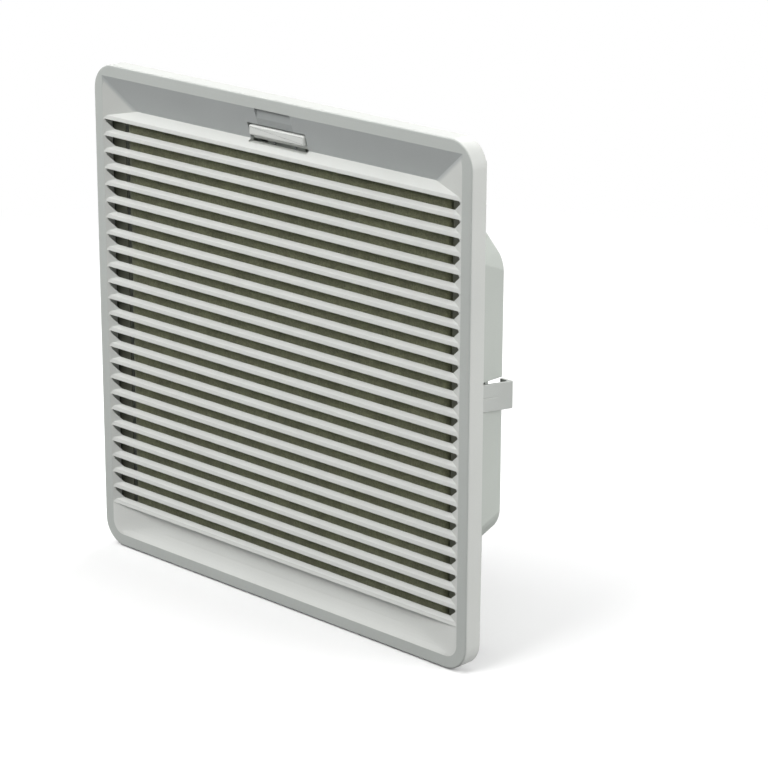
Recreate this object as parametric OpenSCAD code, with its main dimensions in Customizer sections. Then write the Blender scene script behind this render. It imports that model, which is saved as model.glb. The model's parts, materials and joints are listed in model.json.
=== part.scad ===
// Enclosure filter fan: a louvred front cover, filter mat and axial fan in one snap-in unit.
// Millimetres. +X is right and +Z is up, seen from the front; the front faces -Y.
// The origin is the centre of the mounting plane, where the gasket meets the enclosure wall.

/* [Front cover] */
// Width by which the cover overlaps the wall's cut-out, on each side
cover_lap = 13; // [12:0.5:15]
// Depth of the cover from its front plane to its rear edge
cover_depth = 9.5; // [9.3:0.1:11]
// Gap between the cover's rear edge and the enclosure wall
cover_gap = 0.5; // [0.3:0.1:1]
// Radius of the cover's outer corners
corner_r = 13; // [10:0.5:16]
// Width of the flat rim round the front
rim_w = 6; // [5.5:0.1:6.4]
// Thickness of the cover's side walls
skirt_wall = 2; // [1.6:0.1:2.2]
// Depth of the solid front behind the rim and louvres
front_depth = 5; // [4.6:0.1:5]

/* [Louvres] */
// Distance from one louvre to the next
slot_pitch = 8.35; // [8.1:0.05:8.5]
// Drop from the rim to the first slot's upper edge
slot_drop = 21.5; // [21:0.5:24]
// Height of the bright nose on each louvre
lip_h = 1.9; // [1.5:0.1:2.1]
// Distance by which the nose leans back at its top
lip_lean = 0.6; // [0.4:0.1:0.8]
// Depth of the groove above each louvre
groove_d = 2.5; // [2.2:0.1:2.7]
// Drop from a slot's upper edge to the bottom of its groove
groove_drop = 4.9; // [4.6:0.1:5.2]
// Width taken by the sloped end of a groove
groove_end_w = 6.3; // [5:0.1:8]

/* [Handle recess] */
// Depth of the handle recess above the louvres
recess_d = 5.1; // [4.5:0.1:5.3]
// Drop from the rim to the bottom of the recess
recess_drop = 15.9; // [15:0.1:16.5]
// Width taken by each sloped end of the recess
recess_end_w = 20; // [14:1:26]
// Least height of the dished panel below the louvres
dish_min_h = 16; // [14:0.5:20]
// Depth of the dished panel
dish_d = 3.4; // [2.6:0.1:3.5]
// Width taken by each end of the dished panel
dish_end_w = 28; // [18:1:40]

/* [Latch] */
// Width of the latch's thumb tab
tab_w = 37; // [32:0.5:40]
// Height of the thumb tab
tab_h = 5.4; // [4.8:0.1:5.6]
// Drop from the rim to the tab's lower edge
tab_drop = 14; // [13.7:0.1:14.4]
// Downward travel that frees the cover
latch_travel = 2.6; // [2:0.1:2.8]

/* [Base frame] */
// Width and height of the square cut-out in the enclosure wall
cutout_w = 224; // [222:0.5:226]
// Play between the housing and the cut-out, on each side
cutout_play = 0.6; // [0.4:0.1:0.9]
// Thickness of the housing's walls
wall = 2.4; // [2:0.1:2.8]
// Thickness of the flange
flange_t = 2.6; // [2.2:0.1:2.7]
// Depth of the square mat tray behind the enclosure wall
tray_depth = 12.5; // [11:0.5:14]
// Depth of the housing behind the enclosure wall
housing_depth = 27.5; // [26:0.5:32]
// Leg of the chamfers on the housing's rear part
chamfer_leg = 49; // [40:1:52]
// Spacing of the ribs behind the mat
rib_step = 36; // [34:1:38]
// Compressed thickness of the flange gasket
gasket_t = 1.6; // [1.2:0.1:2]
// Width of the gasket's band
gasket_w = 6; // [4:0.5:6.2]

/* [Filter mat] */
// Play between the mat and the tray
mat_play = 1.3; // [1.2:0.1:2]
// Gap between the mat and what it lies against
mat_gap = 0.3; // [0.2:0.05:0.4]

/* [Retaining clips] */
// Width of each spring clip
clip_w = 13; // [10:0.5:16]
// Reach of a clip's tip beyond the housing wall
clip_reach = 6.1; // [4:0.1:6.5]
// Thickness of a clip's leaf
clip_t = 1.6; // [1.2:0.1:1.8]

/* [Fan] */
// Side of the square fan housing
fan_w = 119; // [118:0.5:121]
// Depth of the fan housing
fan_depth = 38; // [37:0.5:40]
// Distance from the fan's sides to the centres of its fixing holes
fan_hole_inset = 7.1; // [6.8:0.1:7.5]
// Distance from the fan's sides to its air passage
fan_rim = 3.5; // [3.2:0.1:4.5]
// Number of blades
blade_count = 7; // [5:1:9]
// Diameter of the motor's steel rotor cup
rotor_dia = 51; // [48:0.5:54]
// Diameter of the shaft
shaft_dia = 5; // [4:0.5:6]

/* [Hidden] */
$fn = 96;

// Overrun of every cut, and the small overlap that joins neighbouring solids and cuts
cut = 1;
knit = 0.02;

// Front cover: its width and planes, the edge inside the rim and the section of a louvre
cover_w = cutout_w + 2 * cover_lap;
front_y = -(cover_depth + cover_gap);
back_y = front_y + front_depth;
rim_edge = cover_w / 2 - rim_w;
groove_rise = slot_pitch - lip_h - groove_drop;
passage_inset = 1.5;
passage_edge = rim_edge - passage_inset;
blade_t = 1.6;
blade_fall = 1.5;
slot_top = rim_edge - slot_drop;
slot_count = floor((slot_top + rim_edge - dish_min_h) / slot_pitch);
slots_bottom = slot_top - slot_count * slot_pitch;
recess_wall = 1.9;
recess_z = rim_edge - recess_drop;
thumb_w = 23.4;
thumb_d = 1.5;
dish_wall_h = 2.1;

// Cover hinge: its axis lies at the rear of the solid front, a little above the bottom edge
hinge_inset = 4.5;
hinge_y = back_y;
hinge_z = -(cover_w / 2 - hinge_inset);
hinge_side = 45;
hinge_x = cover_w / 2 - hinge_side;
lug_w = 8;
lug_r = 2.6;
ear_w = 4;
ear_r = 3;
ear_gap = 0.4;
pin_r = 1.25;
pin_run = 0.06;
swing_gap = 1.1;
relief_play = 0.2;
relief_r = hinge_inset + cover_gap - relief_play;
relief_side = 6;
relief_half_w = cover_w / 2 - relief_side;

// Base frame: the flange, the tray behind it and the walls of the rear part
flange_gap = 0.5;
flange_w = cover_w - 2 * skirt_wall - 2 * flange_gap;
flange_low_z = hinge_z + swing_gap;
flange_corner = 9.4;
flange_rear_y = -gasket_t;
flange_front_y = flange_rear_y - flange_t;
house_w = cutout_w - 2 * cutout_play;
house_r = 2;
tray_w = house_w - 2 * wall;
rib_t = 2;
rib_h = 4;
rib_count = 6;
step_t = 2.4;
rear_plate_y = housing_depth - wall;
fan_hole_play = 1;
lip_ring_t = 2;
lip_ring_h = 5;
gasket_play = 0.24;

// Latch: the boss behind the recess, the slider on it, its springs and the retainer
mat_wall_drop = 0.5;
mat_wall_z = slot_top - mat_wall_drop;
mat_wall_t = 2;
tab_z = rim_edge - tab_drop;
plate_over = 4.5;
plate_half_w = tab_w / 2 + plate_over;
retainer_over = 9;
retainer_half_w = plate_half_w + retainer_over;
boss_over = 1;
boss_half_w = retainer_half_w + boss_over;
boss_d = 7;
boss_y = front_y + boss_d;
boss_lift = 1.6;
boss_play = 0.6;
boss_low_z = mat_wall_z + boss_lift;
boss_top_z = tray_w / 2 - boss_play;
slide_gap = 0.12;
spring_r = 0.9;
spring_wire_r = 0.18;
spring_turns = 7;
spring_x = 7;
spring_play = 0.1;
spring_skin_t = 0.5;
spring_seat_h = 1;
spring_low_z = boss_low_z + spring_seat_h;
plate_t = 2.4;
plate_play = 0.7;
plate_top_play = 0.2;
plate_y = boss_y + slide_gap;
plate_low_z = spring_low_z + latch_travel + plate_play;
plate_top_z = boss_top_z - plate_top_play;
spring_top_wall = 1.5;
spring_top_z = plate_top_z - spring_top_wall;
latch_mid_z = (plate_low_z + plate_top_z) / 2;
tab_d = 2.7;
tab_r = 1.2;
tab_back_gap = 0.2;
window_play = 0.6;
window_low_play = 0.8;
arm_w = 5;
arm_t = 2;
arm_in = 3;
arm_x = tab_w / 2 - arm_in;
arm_drop = 1;
arm_z = tab_z - arm_drop;
nose_t = 2;
nose_h = 2;
catch_lap = 1.6;
catch_z = arm_z + arm_t + nose_h - catch_lap;
keeper_gap = 0.4;
retainer_t = 1.3;
retainer_y = plate_y + plate_t + slide_gap;
retainer_rear_y = retainer_y + retainer_t;
retainer_side_gap = 0.3;
retainer_screw_in = 4;
retainer_screw_x = retainer_half_w - retainer_screw_in;
shelf_gap = 0.36;
shelf_y = retainer_rear_y + shelf_gap;
shelf_t = 2.4;
latch_screw_r = 0.86;
latch_screw_play = 0.3;
latch_screw_grip = 1.6;
latch_screw_head_r = 2.2;
latch_screw_head_h = 0.9;

// Filter mat
mat_half_w = tray_w / 2 - mat_play;
mat_front_y = back_y + mat_gap;
mat_rear_y = tray_depth - mat_gap;
mat_top_z = mat_wall_z - mat_gap;

// Retaining clips, drawn at the right-hand side and turned round for the left
clip_pivot_in = 1.6;
clip_pivot_x = house_w / 2 - clip_pivot_in;
clip_pivot_y = 3.5;
clip_barrel_r = 1.5;
clip_trunnion_r = 0.8;
clip_trunnion_h = 2;
clip_run = 0.05;
clip_end_gap = 0.3;
clip_tip_run = 1;
clip_tip_y = housing_depth + clip_tip_run;
clip_return = 7;
clip_nose_r = 0.8;
clip_play = 0.8;
clip_notch_in = 8.4;
clip_seat_t = 3.4;
clip_seat_h = 2.6;
clip_seat_len = 4;
clip_belly_share = 0.44;
clip_belly_out = 1.3;
clip_seam_d = 0.4;
clip_seam_w = 0.4;

// Fan housing, with its hub plate and bearing tube
fan_y = housing_depth;
fan_rear_y = fan_y + fan_depth;
fan_pitch = fan_w - 2 * fan_hole_inset;
fan_bore = fan_w - 2 * fan_rim;
fan_hole_r = fan_bore / 2 + fan_hole_play;
fan_flange_t = 5;
fan_corner_r = 4;
fan_barrel_wall = 2.4;
fan_screw_hole_r = 2.25;
strut_w = 5;
strut_t = 4;
hub_r = 31;
hub_plate_t = 3;
tube_r = 8.5;
bearing_r = 6.5;
bearing_w = 4;
bearing_in = 9.5;
bearing_lead = 2;
bearing_y = fan_y + bearing_in;
rear_bearing_in = 5.5;
rear_bearing_y = fan_rear_y - hub_plate_t - rear_bearing_in;
bearing_play = 0.02;
bearing_race_t = 1.1;
bearing_shield_in = 0.24;
tube_step = 1.2;

// Rotor and stator
cup_in = 5;
cup_y = fan_y + cup_in;
cup_t = 1.2;
cup_len = 27;
cup_boss_r = 5.5;
cup_boss_h = 3.6;
shaft_nose = 1.2;
hub_wall = 2.2;
hub_play = 0.05;
blade_tip_gap = 1.6;
fan_blade_t = 1.8;
fan_blade_angle = 35;
fan_blade_in = 6.5;
fan_blade_depth = 22;
fan_blade_y = fan_y + fan_blade_in;
cage_t = 2.2;
cage_over = 1.2;
air_gap = 0.4;
core_in = 16;
core_len = 13;
core_y = fan_y + core_in;
core_ring_share = 0.405;
core_shoe_t = 2.1;
core_gap = 3.2;
core_face_r = rotor_dia / 2 - cup_t - cage_t - air_gap;
core_shoe_r = core_face_r - core_shoe_t;
core_ring_t = (core_shoe_r - tube_r) * core_ring_share;
pole_count = 4;
pole_w = 4.5;
former_t = 0.8;
former_play = 0.05;
coil_t = 1.5;
coil_play = 0.3;
circlip_t = 0.6;
circlip_out = 1.7;
circlip_groove = 0.24;
circlip_play = 0.12;
circlip_gap = 1.6;
washer_t = 0.5;
washer_in = 0.3;
washer_bore_out = 1.5;
plug_t = 2;

// Finger guard: rings welded on four bars, with an eye at each corner
guard_bar_r = 1;
guard_wire_r = 0.8;
guard_weld = 0.5;
guard_play = 0.12;
guard_ring_count = 5;
guard_first_r = 14;
guard_edge = 2;
guard_ring_step = (fan_bore / 2 - guard_edge - guard_first_r) / (guard_ring_count - 1);
guard_eye_r = 3.6;
guard_bar_y = fan_rear_y + guard_bar_r;
guard_ring_y = guard_bar_y + guard_bar_r + guard_wire_r - guard_weld;
guard_eye_y = fan_rear_y + guard_wire_r;

// Fan screws and nuts, size M4
screw_r = 2;
screw_head_r = 4;
screw_head_h = 2.6;
screw_over = 1;
nut_flat = 7;
nut_h = 3;
nut_play = 0.05;
drive_w = 0.8;
drive_d = 0.9;

// Terminal block on the rear plate, beside the fan
block_gap = 15.5;
block_z = -24;
block_w = 18;
block_x = -(fan_w / 2 + block_gap + block_w / 2);
block_h = 34;
block_d = 20;
block_foot_t = 3;
block_foot_w = 7;
block_foot_h = 7;
block_foot_z = block_h / 2 + block_foot_h / 2;
pole_step = 9;
clamp_r = 2.6;
clamp_depth = 9;
clamp_y = housing_depth + block_d - clamp_depth;
entry_w = 4.4;
entry_h = 4.5;
entry_depth = 8;
terminal_screw_r = 2.4;
terminal_screw_h = 4;
foot_screw_r = 1.38;
foot_screw_play = 0.24;
foot_screw_head_r = 2.9;
foot_screw_head_h = 1.8;

// Leads from the fan to the terminal block, with the earth screw and its ring lug
lead_r = 1.3;
lead_play = 0.2;
lead_hold = 3;
lead_bend = 7;
lead_insert = 6.5;
lead_y = fan_rear_y - fan_flange_t / 2;
entry_y = clamp_y - entry_h / 2;
live_inset = 15.5;
lead_step = 8;
live_z = -(fan_w / 2 - live_inset);
neutral_z = live_z + lead_step;
lead_sides = 8;
lead_fine = 4;
earth_inset = 19.5;
earth_z = fan_w / 2 - earth_inset;
earth_screw_r = 1.5;
earth_screw_play = 0.05;
earth_screw_len = 5;
earth_head_r = 2.6;
earth_head_h = 1.8;
earth_lug_r = 2.9;
earth_lug_t = 0.8;
earth_crimp_r = 2;
earth_crimp_h = 4;
earth_crimp_gap = 0.05;
earth_crimp_x = -(fan_w / 2 + earth_crimp_r + earth_crimp_gap);
earth_crimp_z = earth_z - earth_head_r - earth_crimp_h - earth_crimp_r / 2;

// A solid between two values of Y, from an outline drawn in X and Z
module slab(y0, y1) {
    translate([0, y1, 0]) rotate([90, 0, 0]) linear_extrude(y1 - y0) children();
}

// A solid between two values of X, from an outline drawn in Y and Z
module x_prism(x0, x1) {
    translate([x0, 0, 0]) rotate([90, 0, 90]) linear_extrude(x1 - x0) children();
}

// A round bar along Y
module y_bar(r, y0, y1, x = 0, z = 0) {
    translate([x, y1, z]) rotate([90, 0, 0]) cylinder(r = r, h = y1 - y0);
}

// A round bar along X
module x_bar(r, x0, x1, y = 0, z = 0) {
    translate([x0, y, z]) rotate([0, 90, 0]) cylinder(r = r, h = x1 - x0);
}

// A round ring along Y
module y_ring(r_out, r_in, y0, y1) {
    slab(y0, y1) difference() {
        circle(r = r_out);
        circle(r = r_in);
    }
}

// A rectangle with round corners, centred
module round_rect(w, h, r) {
    square([w - 2 * r, h], center = true);
    square([w, h - 2 * r], center = true);
    for (sx = [-1, 1], sz = [-1, 1])
        translate([sx * (w / 2 - r), sz * (h / 2 - r)]) circle(r = r);
}

// A box from its low corner to its high corner
module span(low, high) {
    translate(low) cube(high - low);
}

// A depth behind the front plane as a value of Y
function y_at(d) = front_y + d;

// The upper edge of a slot, counted from the top
function slot_z(k) = slot_top - k * slot_pitch;

// A recess outline seen from above: full width at the front plane, narrower at its depth
module recess_plan(end_w, depth) {
    inner = rim_edge - end_w;
    polygon([[-rim_edge, front_y], [-rim_edge, front_y - cut], [rim_edge, front_y - cut],
        [rim_edge, front_y], [inner, y_at(depth)], [-inner, y_at(depth)]]);
}

// Side view of one groove, in front of its slanted opening
module groove_side(z) {
    low = z - groove_drop - groove_rise;
    polygon([[front_y - cut, z], [front_y, z], [y_at(groove_d), z - groove_drop],
        [y_at(lip_lean), low], [front_y, low - lip_h], [front_y - cut, low - lip_h]]);
}

// Side view of the passage behind the slanted opening, between two louvres
module passage_side(z) {
    rear = back_y + cut;
    fall = blade_fall / (front_depth - groove_d) * (rear - y_at(groove_d));
    under = z + groove_rise + lip_h - blade_t;
    polygon([[front_y - knit, z], [y_at(groove_d) - knit, z - groove_drop],
        [rear, z - groove_drop - fall], [rear, under - fall], [y_at(groove_d), under]]);
}

// Side view of the handle recess
module recess_side() {
    polygon([[front_y - cut, rim_edge], [front_y, rim_edge], [y_at(recess_d), recess_z],
        [y_at(lip_lean), slot_top + lip_h], [front_y, slot_top], [front_y - cut, slot_top]]);
}

// Side view of the thumb notch at the top of the recess
module thumb_side() {
    low = rim_edge - recess_drop * thumb_d / recess_d;
    polygon([[front_y - cut, rim_edge], [y_at(thumb_d), rim_edge], [y_at(thumb_d), low],
        [front_y - cut, low]]);
}

// Side view of the dished panel below the louvres: a shelf under the last louvre and an arc
module dish_side() {
    top = slots_bottom + knit;
    bend = top - dish_wall_h;
    run = bend + rim_edge;
    r = (run * run + dish_d * dish_d) / (2 * dish_d);
    translate([front_y - cut, bend]) square([dish_d + cut, dish_wall_h]);
    intersection() {
        translate([front_y - cut, -rim_edge]) square([dish_d + 2 * cut, run + knit]);
        translate([y_at(dish_d) - r, bend]) circle(r = r);
    }
}

// The louvre slots, the recess, its thumb notch and the dish, as one body to cut away
module front_cuts() {
    intersection() {
        union() {
            for (k = [0:slot_count - 1]) x_prism(-rim_edge - cut, rim_edge + cut) groove_side(slot_z(k));
        }
        translate([0, 0, slots_bottom])
            linear_extrude(slot_top - slots_bottom + cut) recess_plan(groove_end_w, groove_d);
    }
    for (k = [0:slot_count - 1]) x_prism(-passage_edge, passage_edge) passage_side(slot_z(k));
    intersection() {
        x_prism(-rim_edge - cut, rim_edge + cut) recess_side();
        translate([0, 0, slot_top])
            linear_extrude(rim_edge - slot_top + cut) recess_plan(recess_end_w, recess_d);
    }
    x_prism(-thumb_w / 2, thumb_w / 2) thumb_side();
    intersection() {
        x_prism(-rim_edge - cut, rim_edge + cut) dish_side();
        translate([0, 0, -rim_edge - cut])
            linear_extrude(slots_bottom + rim_edge + 2 * cut) recess_plan(dish_end_w, dish_d);
    }
}

// The window for the latch, from the recess through the boss behind it
module latch_window() {
    span([-tab_w / 2 - window_play, front_y - cut, tab_z - latch_travel - window_low_play],
        [tab_w / 2 + window_play, boss_y + cut, tab_z + tab_h + window_play]);
}

// The cover's outer shell: a hollow block, cut back along its lower edge so that it can swing
module cover_shell() {
    difference() {
        slab(front_y, -cover_gap) round_rect(cover_w, cover_w, corner_r);
        slab(back_y, 0)
            round_rect(cover_w - 2 * skirt_wall, cover_w - 2 * skirt_wall, corner_r - skirt_wall);
        difference() {
            span([-cover_w / 2 - cut, hinge_y, -cover_w / 2 - cut], [cover_w / 2 + cut, 0, hinge_z]);
            for (s = [-1, 1]) {
                x0 = s > 0 ? relief_half_w : -cover_w / 2 - cut;
                x_bar(relief_r, x0, x0 + cover_w / 2 + cut - relief_half_w, hinge_y, hinge_z);
            }
        }
    }
}

module front_cover() {
    bump_half_w = rim_edge - recess_end_w * (front_depth - recess_wall) / recess_d;
    ear_x = lug_w / 2 + ear_gap;
    color([0.80, 0.81, 0.79]) difference() {
        union() {
            cover_shell();
            x_prism(-bump_half_w, bump_half_w)
                polygon([[back_y - cut, recess_z - 2 * recess_wall], [back_y, recess_z - 2 * recess_wall],
                    [y_at(recess_d) + recess_wall, recess_z], [back_y, recess_z + 2 * recess_wall],
                    [back_y - cut, recess_z + 2 * recess_wall]]);
            span([-boss_half_w, back_y - cut, boss_low_z], [boss_half_w, boss_y, boss_top_z]);
            for (s = [-1, 1], x0 = [-ear_x - ear_w, ear_x])
                x_bar(ear_r, s * hinge_x + x0, s * hinge_x + x0 + ear_w, hinge_y, hinge_z);
        }
        front_cuts();
        latch_window();
        for (s = [-1, 1]) {
            x_bar(ear_r + ear_gap / 2, s * hinge_x - ear_x, s * hinge_x + ear_x, hinge_y, hinge_z);
            x_bar(pin_r, s * hinge_x - ear_x - ear_w - cut, s * hinge_x + ear_x + ear_w + cut,
                hinge_y, hinge_z);
            y_bar(latch_screw_r, boss_y - latch_screw_grip, boss_y + cut,
                s * retainer_screw_x, latch_mid_z);
        }
    }
}

// The steel pins, pressed into the cover's ears
module hinge_pins() {
    half = lug_w / 2 + ear_gap + ear_w;
    color([0.72, 0.73, 0.75])
        for (s = [-1, 1]) x_bar(pin_r, s * hinge_x - half, s * hinge_x + half, hinge_y, hinge_z);
}

// The sliding latch: a thumb tab, a back plate and two hooked arms
module latch_slider() {
    arm_end_y = shelf_y + shelf_t + keeper_gap + nose_t;
    color([0.88, 0.89, 0.87]) difference() {
        union() {
            slab(y_at(tab_d), back_y + tab_back_gap)
                translate([0, tab_z + tab_h / 2]) round_rect(tab_w, tab_h, tab_r);
            span([-tab_w / 2 + tab_r, y_at(tab_d) + tab_r, tab_z],
                [tab_w / 2 - tab_r, plate_y + knit, plate_top_z]);
            span([-plate_half_w, plate_y, plate_low_z], [plate_half_w, plate_y + plate_t, plate_top_z]);
            for (s = [-1, 1]) {
                span([s * arm_x - arm_w / 2, plate_y, arm_z],
                    [s * arm_x + arm_w / 2, arm_end_y, arm_z + arm_t]);
                span([s * arm_x - arm_w / 2, arm_end_y - nose_t, arm_z],
                    [s * arm_x + arm_w / 2, arm_end_y, arm_z + arm_t + nose_h]);
            }
        }
        for (s = [-1, 1])
            span([s * spring_x - spring_r - spring_play, plate_y + spring_skin_t, plate_low_z - cut],
                [s * spring_x + spring_r + spring_play, plate_y + plate_t + cut, spring_top_z]);
    }
}

// A coil spring standing along Z: one closed tube swept along a helix
module coil_spring(r, wire, h, turns) {
    ring_count = turns * 8;
    points = [for (i = [0:ring_count], j = [0:5])
        let (a = 360 * turns * i / ring_count, out = r + wire * cos(60 * j))
            [out * cos(a), out * sin(a), h * i / ring_count + wire * sin(60 * j)]];
    skin = [for (i = [0:ring_count - 1], j = [0:5])
        let (a = i * 6 + j, b = i * 6 + (j + 1) % 6) each [[a, b, a + 6], [b, b + 6, a + 6]]];
    polyhedron(points = points, faces = concat(skin, [[5, 4, 3, 2, 1, 0]],
        [[for (j = [0:5]) ring_count * 6 + j]]));
}
spring_h = spring_top_z - spring_low_z - 2 * spring_wire_r;
echo(latch_spring_gap = spring_h / spring_turns - 2 * spring_wire_r);

module latch_springs() {
    color([0.70, 0.71, 0.72]) for (s = [-1, 1])
        translate([s * spring_x, retainer_y - spring_r - spring_play, spring_low_z + spring_wire_r])
            coil_spring(spring_r - spring_wire_r, spring_wire_r, spring_h, spring_turns);
}

// The plate that holds the latch to the cover, with a spacer at each end and a seat for the springs
module latch_retainer() {
    spacer_w = retainer_half_w - plate_half_w - retainer_side_gap;
    seat_half_w = spring_x + spring_r + spring_play;
    color([0.78, 0.79, 0.77]) difference() {
        union() {
            span([-retainer_half_w, retainer_y, boss_low_z],
                [retainer_half_w, retainer_rear_y, boss_top_z]);
            for (x0 = [-retainer_half_w, retainer_half_w - spacer_w])
                span([x0, boss_y, boss_low_z], [x0 + spacer_w, retainer_y + knit, boss_top_z]);
            span([-seat_half_w, boss_y, boss_low_z], [seat_half_w, retainer_y + knit, spring_low_z]);
        }
        for (s = [-1, 1]) {
            arm_low_z = arm_z - latch_travel - window_play;
            span([s * arm_x - arm_w / 2 - window_play, retainer_y - cut, arm_low_z],
                [s * arm_x + arm_w / 2 + window_play, retainer_rear_y + cut, boss_top_z + cut]);
            y_bar(latch_screw_r + latch_screw_play, boss_y - cut, retainer_rear_y + cut,
                s * retainer_screw_x, latch_mid_z);
            y_bar(latch_screw_head_r + slide_gap, retainer_rear_y - latch_screw_head_h,
                retainer_rear_y + cut, s * retainer_screw_x, latch_mid_z);
        }
    }
}

module latch_screws() {
    color([0.70, 0.71, 0.72]) for (s = [-1, 1]) difference() {
        union() {
            y_bar(latch_screw_head_r, retainer_rear_y - latch_screw_head_h, retainer_rear_y,
                s * retainer_screw_x, latch_mid_z);
            y_bar(latch_screw_r, boss_y - latch_screw_grip, retainer_rear_y - knit,
                s * retainer_screw_x, latch_mid_z);
        }
        translate([s * retainer_screw_x, retainer_rear_y, latch_mid_z])
            cube([2 * latch_screw_r, latch_screw_head_h, drive_w], center = true);
    }
}

// The mat lies in the tray, between the louvres and the ribs
module filter_mat() {
    color([0.42, 0.43, 0.38])
        span([-mat_half_w, mat_front_y, -mat_half_w], [mat_half_w, mat_rear_y, mat_top_z]);
}

// Outline of the flange: straight along the hinge, its two lower corners cut off clear of the cover
module flange_outline() {
    half = flange_w / 2;
    difference() {
        round_rect(flange_w, flange_w, corner_r - skirt_wall);
        translate([-half - cut, -half - cut]) square([flange_w + 2 * cut, flange_low_z + half + cut]);
        for (s = [-1, 1])
            polygon([[s * (half + cut), flange_low_z + flange_corner + cut],
                [s * (half + cut), -half - cut],
                [s * (half - flange_corner - cut), flange_low_z - cut]]);
    }
}

// Outline of the housing's rear part, with chamfered corners, drawn in by a distance
module octagon(inset = 0) {
    a = house_w / 2 - inset;
    b = house_w / 2 - chamfer_leg - inset * tan(22.5);
    polygon([[a, -b], [a, b], [b, a], [-b, a], [-a, b], [-a, -b], [-b, -a], [b, -a]]);
}

// The opening, the two bearing blocks and the bore for one clip, at the right-hand side
module clip_window() {
    half = clip_w / 2 + clip_play;
    span([house_w / 2 - clip_notch_in, clip_pivot_y - clip_barrel_r - clip_end_gap, -half],
        [house_w / 2 + cut, housing_depth + cut, half]);
}
module clip_seats() {
    half = clip_w / 2 + clip_play;
    for (z0 = [-half - clip_seat_h, half])
        span([house_w / 2 - clip_seat_t, clip_pivot_y - clip_seat_len / 2, z0],
            [house_w / 2 - wall + knit, clip_pivot_y + clip_seat_len / 2, z0 + clip_seat_h]);
}
module clip_bore() {
    half = clip_w / 2 + clip_trunnion_h + clip_end_gap;
    translate([clip_pivot_x, clip_pivot_y, -half]) cylinder(r = clip_trunnion_r + clip_run, h = 2 * half);
}

// Flange, tray and rear part, with the ribs, the fan's inlet ring and the keeper shelf for the latch
module frame_walls() {
    difference() {
        union() {
            slab(flange_front_y, flange_rear_y) flange_outline();
            slab(flange_front_y, tray_depth) round_rect(house_w, house_w, house_r);
            slab(tray_depth - knit, housing_depth) octagon();
        }
        slab(flange_front_y - cut, tray_depth) square(tray_w, center = true);
        slab(tray_depth - cut, rear_plate_y) octagon(wall);
        slab(rear_plate_y - cut, housing_depth + cut) circle(r = fan_hole_r);
    }
    slab(tray_depth - knit, tray_depth + step_t) difference() {
        round_rect(house_w, house_w, house_r);
        octagon(wall);
    }
    slab(tray_depth, tray_depth + rib_h) intersection() {
        octagon(wall / 2);
        union() {
            for (i = [0:rib_count - 1]) {
                at = (i - (rib_count - 1) / 2) * rib_step;
                translate([at, 0]) square([rib_t, house_w], center = true);
                translate([0, at]) square([house_w, rib_t], center = true);
            }
        }
    }
    y_ring(fan_hole_r + lip_ring_t, fan_hole_r, rear_plate_y - lip_ring_h, rear_plate_y + knit);
    edge = tray_w / 2 + knit;
    span([-edge, shelf_y, mat_wall_z], [edge, shelf_y + shelf_t, edge]);
    span([-edge, shelf_y, mat_wall_z], [edge, tray_depth + knit, mat_wall_z + mat_wall_t]);
}

module base_frame() {
    color([0.74, 0.76, 0.74]) difference() {
        union() {
            frame_walls();
            for (a = [0, 180]) rotate([0, a, 0]) clip_seats();
            for (s = [-1, 1]) {
                x_bar(lug_r, s * hinge_x - lug_w / 2, s * hinge_x + lug_w / 2, hinge_y, hinge_z);
                span([s * hinge_x - lug_w / 2, flange_front_y, hinge_z],
                    [s * hinge_x + lug_w / 2, flange_rear_y, flange_low_z + 2 * lug_r]);
            }
        }
        for (a = [0, 180]) rotate([0, a, 0]) {
            clip_window();
            clip_bore();
        }
        for (s = [-1, 1]) {
            x_bar(pin_r + pin_run, s * hinge_x - lug_w, s * hinge_x + lug_w, hinge_y, hinge_z);
            for (x0 = [-lug_w / 2 - ear_w - 2 * ear_gap, lug_w / 2])
                span([s * hinge_x + x0, flange_front_y - cut, flange_low_z - cut],
                    [s * hinge_x + x0 + ear_w + 2 * ear_gap, flange_rear_y + cut,
                        hinge_z + ear_r + ear_gap]);
            span([s * arm_x - arm_w / 2 - window_play, shelf_y - cut, arm_z - latch_travel - window_play],
                [s * arm_x + arm_w / 2 + window_play, shelf_y + shelf_t + cut, catch_z]);
            y_bar(foot_screw_r, rear_plate_y - cut, housing_depth + cut,
                block_x, block_z + s * block_foot_z);
        }
        for (sx = [-1, 1], sz = [-1, 1])
            y_bar(fan_screw_hole_r, rear_plate_y - cut, housing_depth + cut,
                sx * fan_pitch / 2, sz * fan_pitch / 2);
    }
}

// Foam ring between the flange and the enclosure wall
module flange_gasket() {
    inner = cutout_w + 2 * gasket_play;
    color([0.16, 0.16, 0.17]) slab(flange_rear_y, 0) difference() {
        round_rect(inner + 2 * gasket_w, inner + 2 * gasket_w, gasket_w);
        square(inner, center = true);
    }
}

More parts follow.
